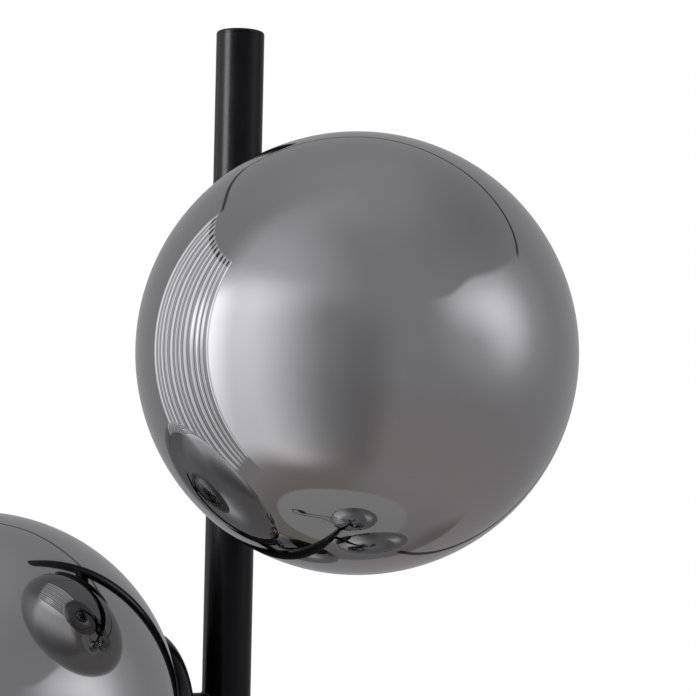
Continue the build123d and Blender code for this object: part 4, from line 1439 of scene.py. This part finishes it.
# %% Paper of the floor
PAPER, MIDDLE = (0.8, 0.8, 0.8), (0.395, 0.39, 0.385)
BORDER_LEFT, BORDER_RIGHT = (0.265, 0.238, 0.218), (0.35, 0.322, 0.326)
BORDER_TURN, BORDER_START, SHEET_END, FADE = (-0.25, 0.45), (0.66, 0.72), (0.66, 1.08), (0.9, 3.0)
floor_paper = new_finish("floor_paper", PAPER, 0.8, Specular_IOR_Level=0.1)
floor_tree = floor_paper.node_tree
paper = floor_tree.nodes["Principled BSDF"]
rays = node(floor_tree, "ShaderNodeLightPath").outputs
place = node(floor_tree, "ShaderNodeTexCoord").outputs["Object"]


def length(vector):
    """How long a vector is."""
    measured = node(floor_tree, "ShaderNodeVectorMath", {0: vector}, operation="LENGTH")
    return measured.outputs["Value"]


def share(value, limits):
    """0 to 1 while a value goes through its limits."""
    return smooth_step(floor_tree, value, *limits, 0, 1)


def shader_mix(ray_kind, amount, first, second):
    """The second shader in place of the first, for one kind of ray and by an amount."""
    by = node(floor_tree, "ShaderNodeMath", {0: rays[ray_kind], 1: amount}, operation="MULTIPLY")
    shaders = {0: by.outputs[0], 1: first.outputs[0], 2: second.outputs[0]}
    return node(floor_tree, "ShaderNodeMixShader", shaders)


oval = node(floor_tree, "ShaderNodeMapping", {"Vector": place}, in_Scale=(1.2, 1.35, 1))
oval.inputs["Location"].default_value = (0.09, -0.05, 0)
to_the_right = node(floor_tree, "ShaderNodeSeparateXYZ", {0: place}).outputs["X"]
border = mixed(floor_tree, share(to_the_right, BORDER_TURN), BORDER_LEFT, BORDER_RIGHT)
sheet = mixed(floor_tree, share(length(oval.outputs[0]), BORDER_START), MIDDLE, border)
paper_tone = mixed(floor_tree, rays["Is Glossy Ray"], PAPER, sheet)
floor_tree.links.new(paper_tone, paper.inputs["Base Color"])

distance = length(place)
white = node(floor_tree, "ShaderNodeEmission")
see_through = node(floor_tree, "ShaderNodeBsdfTransparent")
to_white = shader_mix("Is Camera Ray", share(distance, FADE), paper, white)
shown_floor = shader_mix("Is Glossy Ray", share(distance, SHEET_END), to_white, see_through)
floor_tree.links.new(
    shown_floor.outputs[0], floor_tree.nodes["Material Output"].inputs["Surface"]
)
floor_mesh.materials.append(floor_paper)
print("floor's nodes:", len(floor_tree.nodes))

# %% [markdown]
# Two wide soft lamps light the matt surfaces and cast the shadow on the floor. A tall narrow
# strip draws the streak down the pole, and only the pole's coat takes it up.

# %% Soft lamps


def soft_lamp(name, place, aim, width, height, watts):
    """An area light turned from its place to a point, which the camera and mirrors don't see."""
    data = bpy.data.lights.new(name, "AREA")
    data.shape, data.size, data.size_y, data.energy = "RECTANGLE", width, height, watts
    lamp = added(name, data)
    lamp.location = place
    direction = Vector(aim) - Vector(place)
    lamp.rotation_euler = direction.to_track_quat("-Z", "Y").to_euler()
    lamp.visible_camera = lamp.visible_glossy = False
    return lamp


soft_lamp("left_soft_lamp", (-2.6, -1.4, 2.2), (0, 0, 0.8), 1.8, 1.8, 74)
soft_lamp("right_soft_lamp", (2.4, -1.0, 2.0), (0, 0, 0.8), 1.6, 1.6, 38)
strip_lamp = soft_lamp("pole_strip_lamp", (-1.3, -0.75, 1.1), (0, 0, 1.1), 0.62, 2.2, 44)
strip_lamp.visible_glossy = True
takes_strip = bpy.data.collections.new("takes_the_strip_lamp")
for piece in (pole_cap, *pole_pieces.values()):
    takes_strip.objects.link(piece)
strip_lamp.light_linking.receiver_collection = takes_strip
bpy.context.scene.view_settings.view_transform = "Standard"
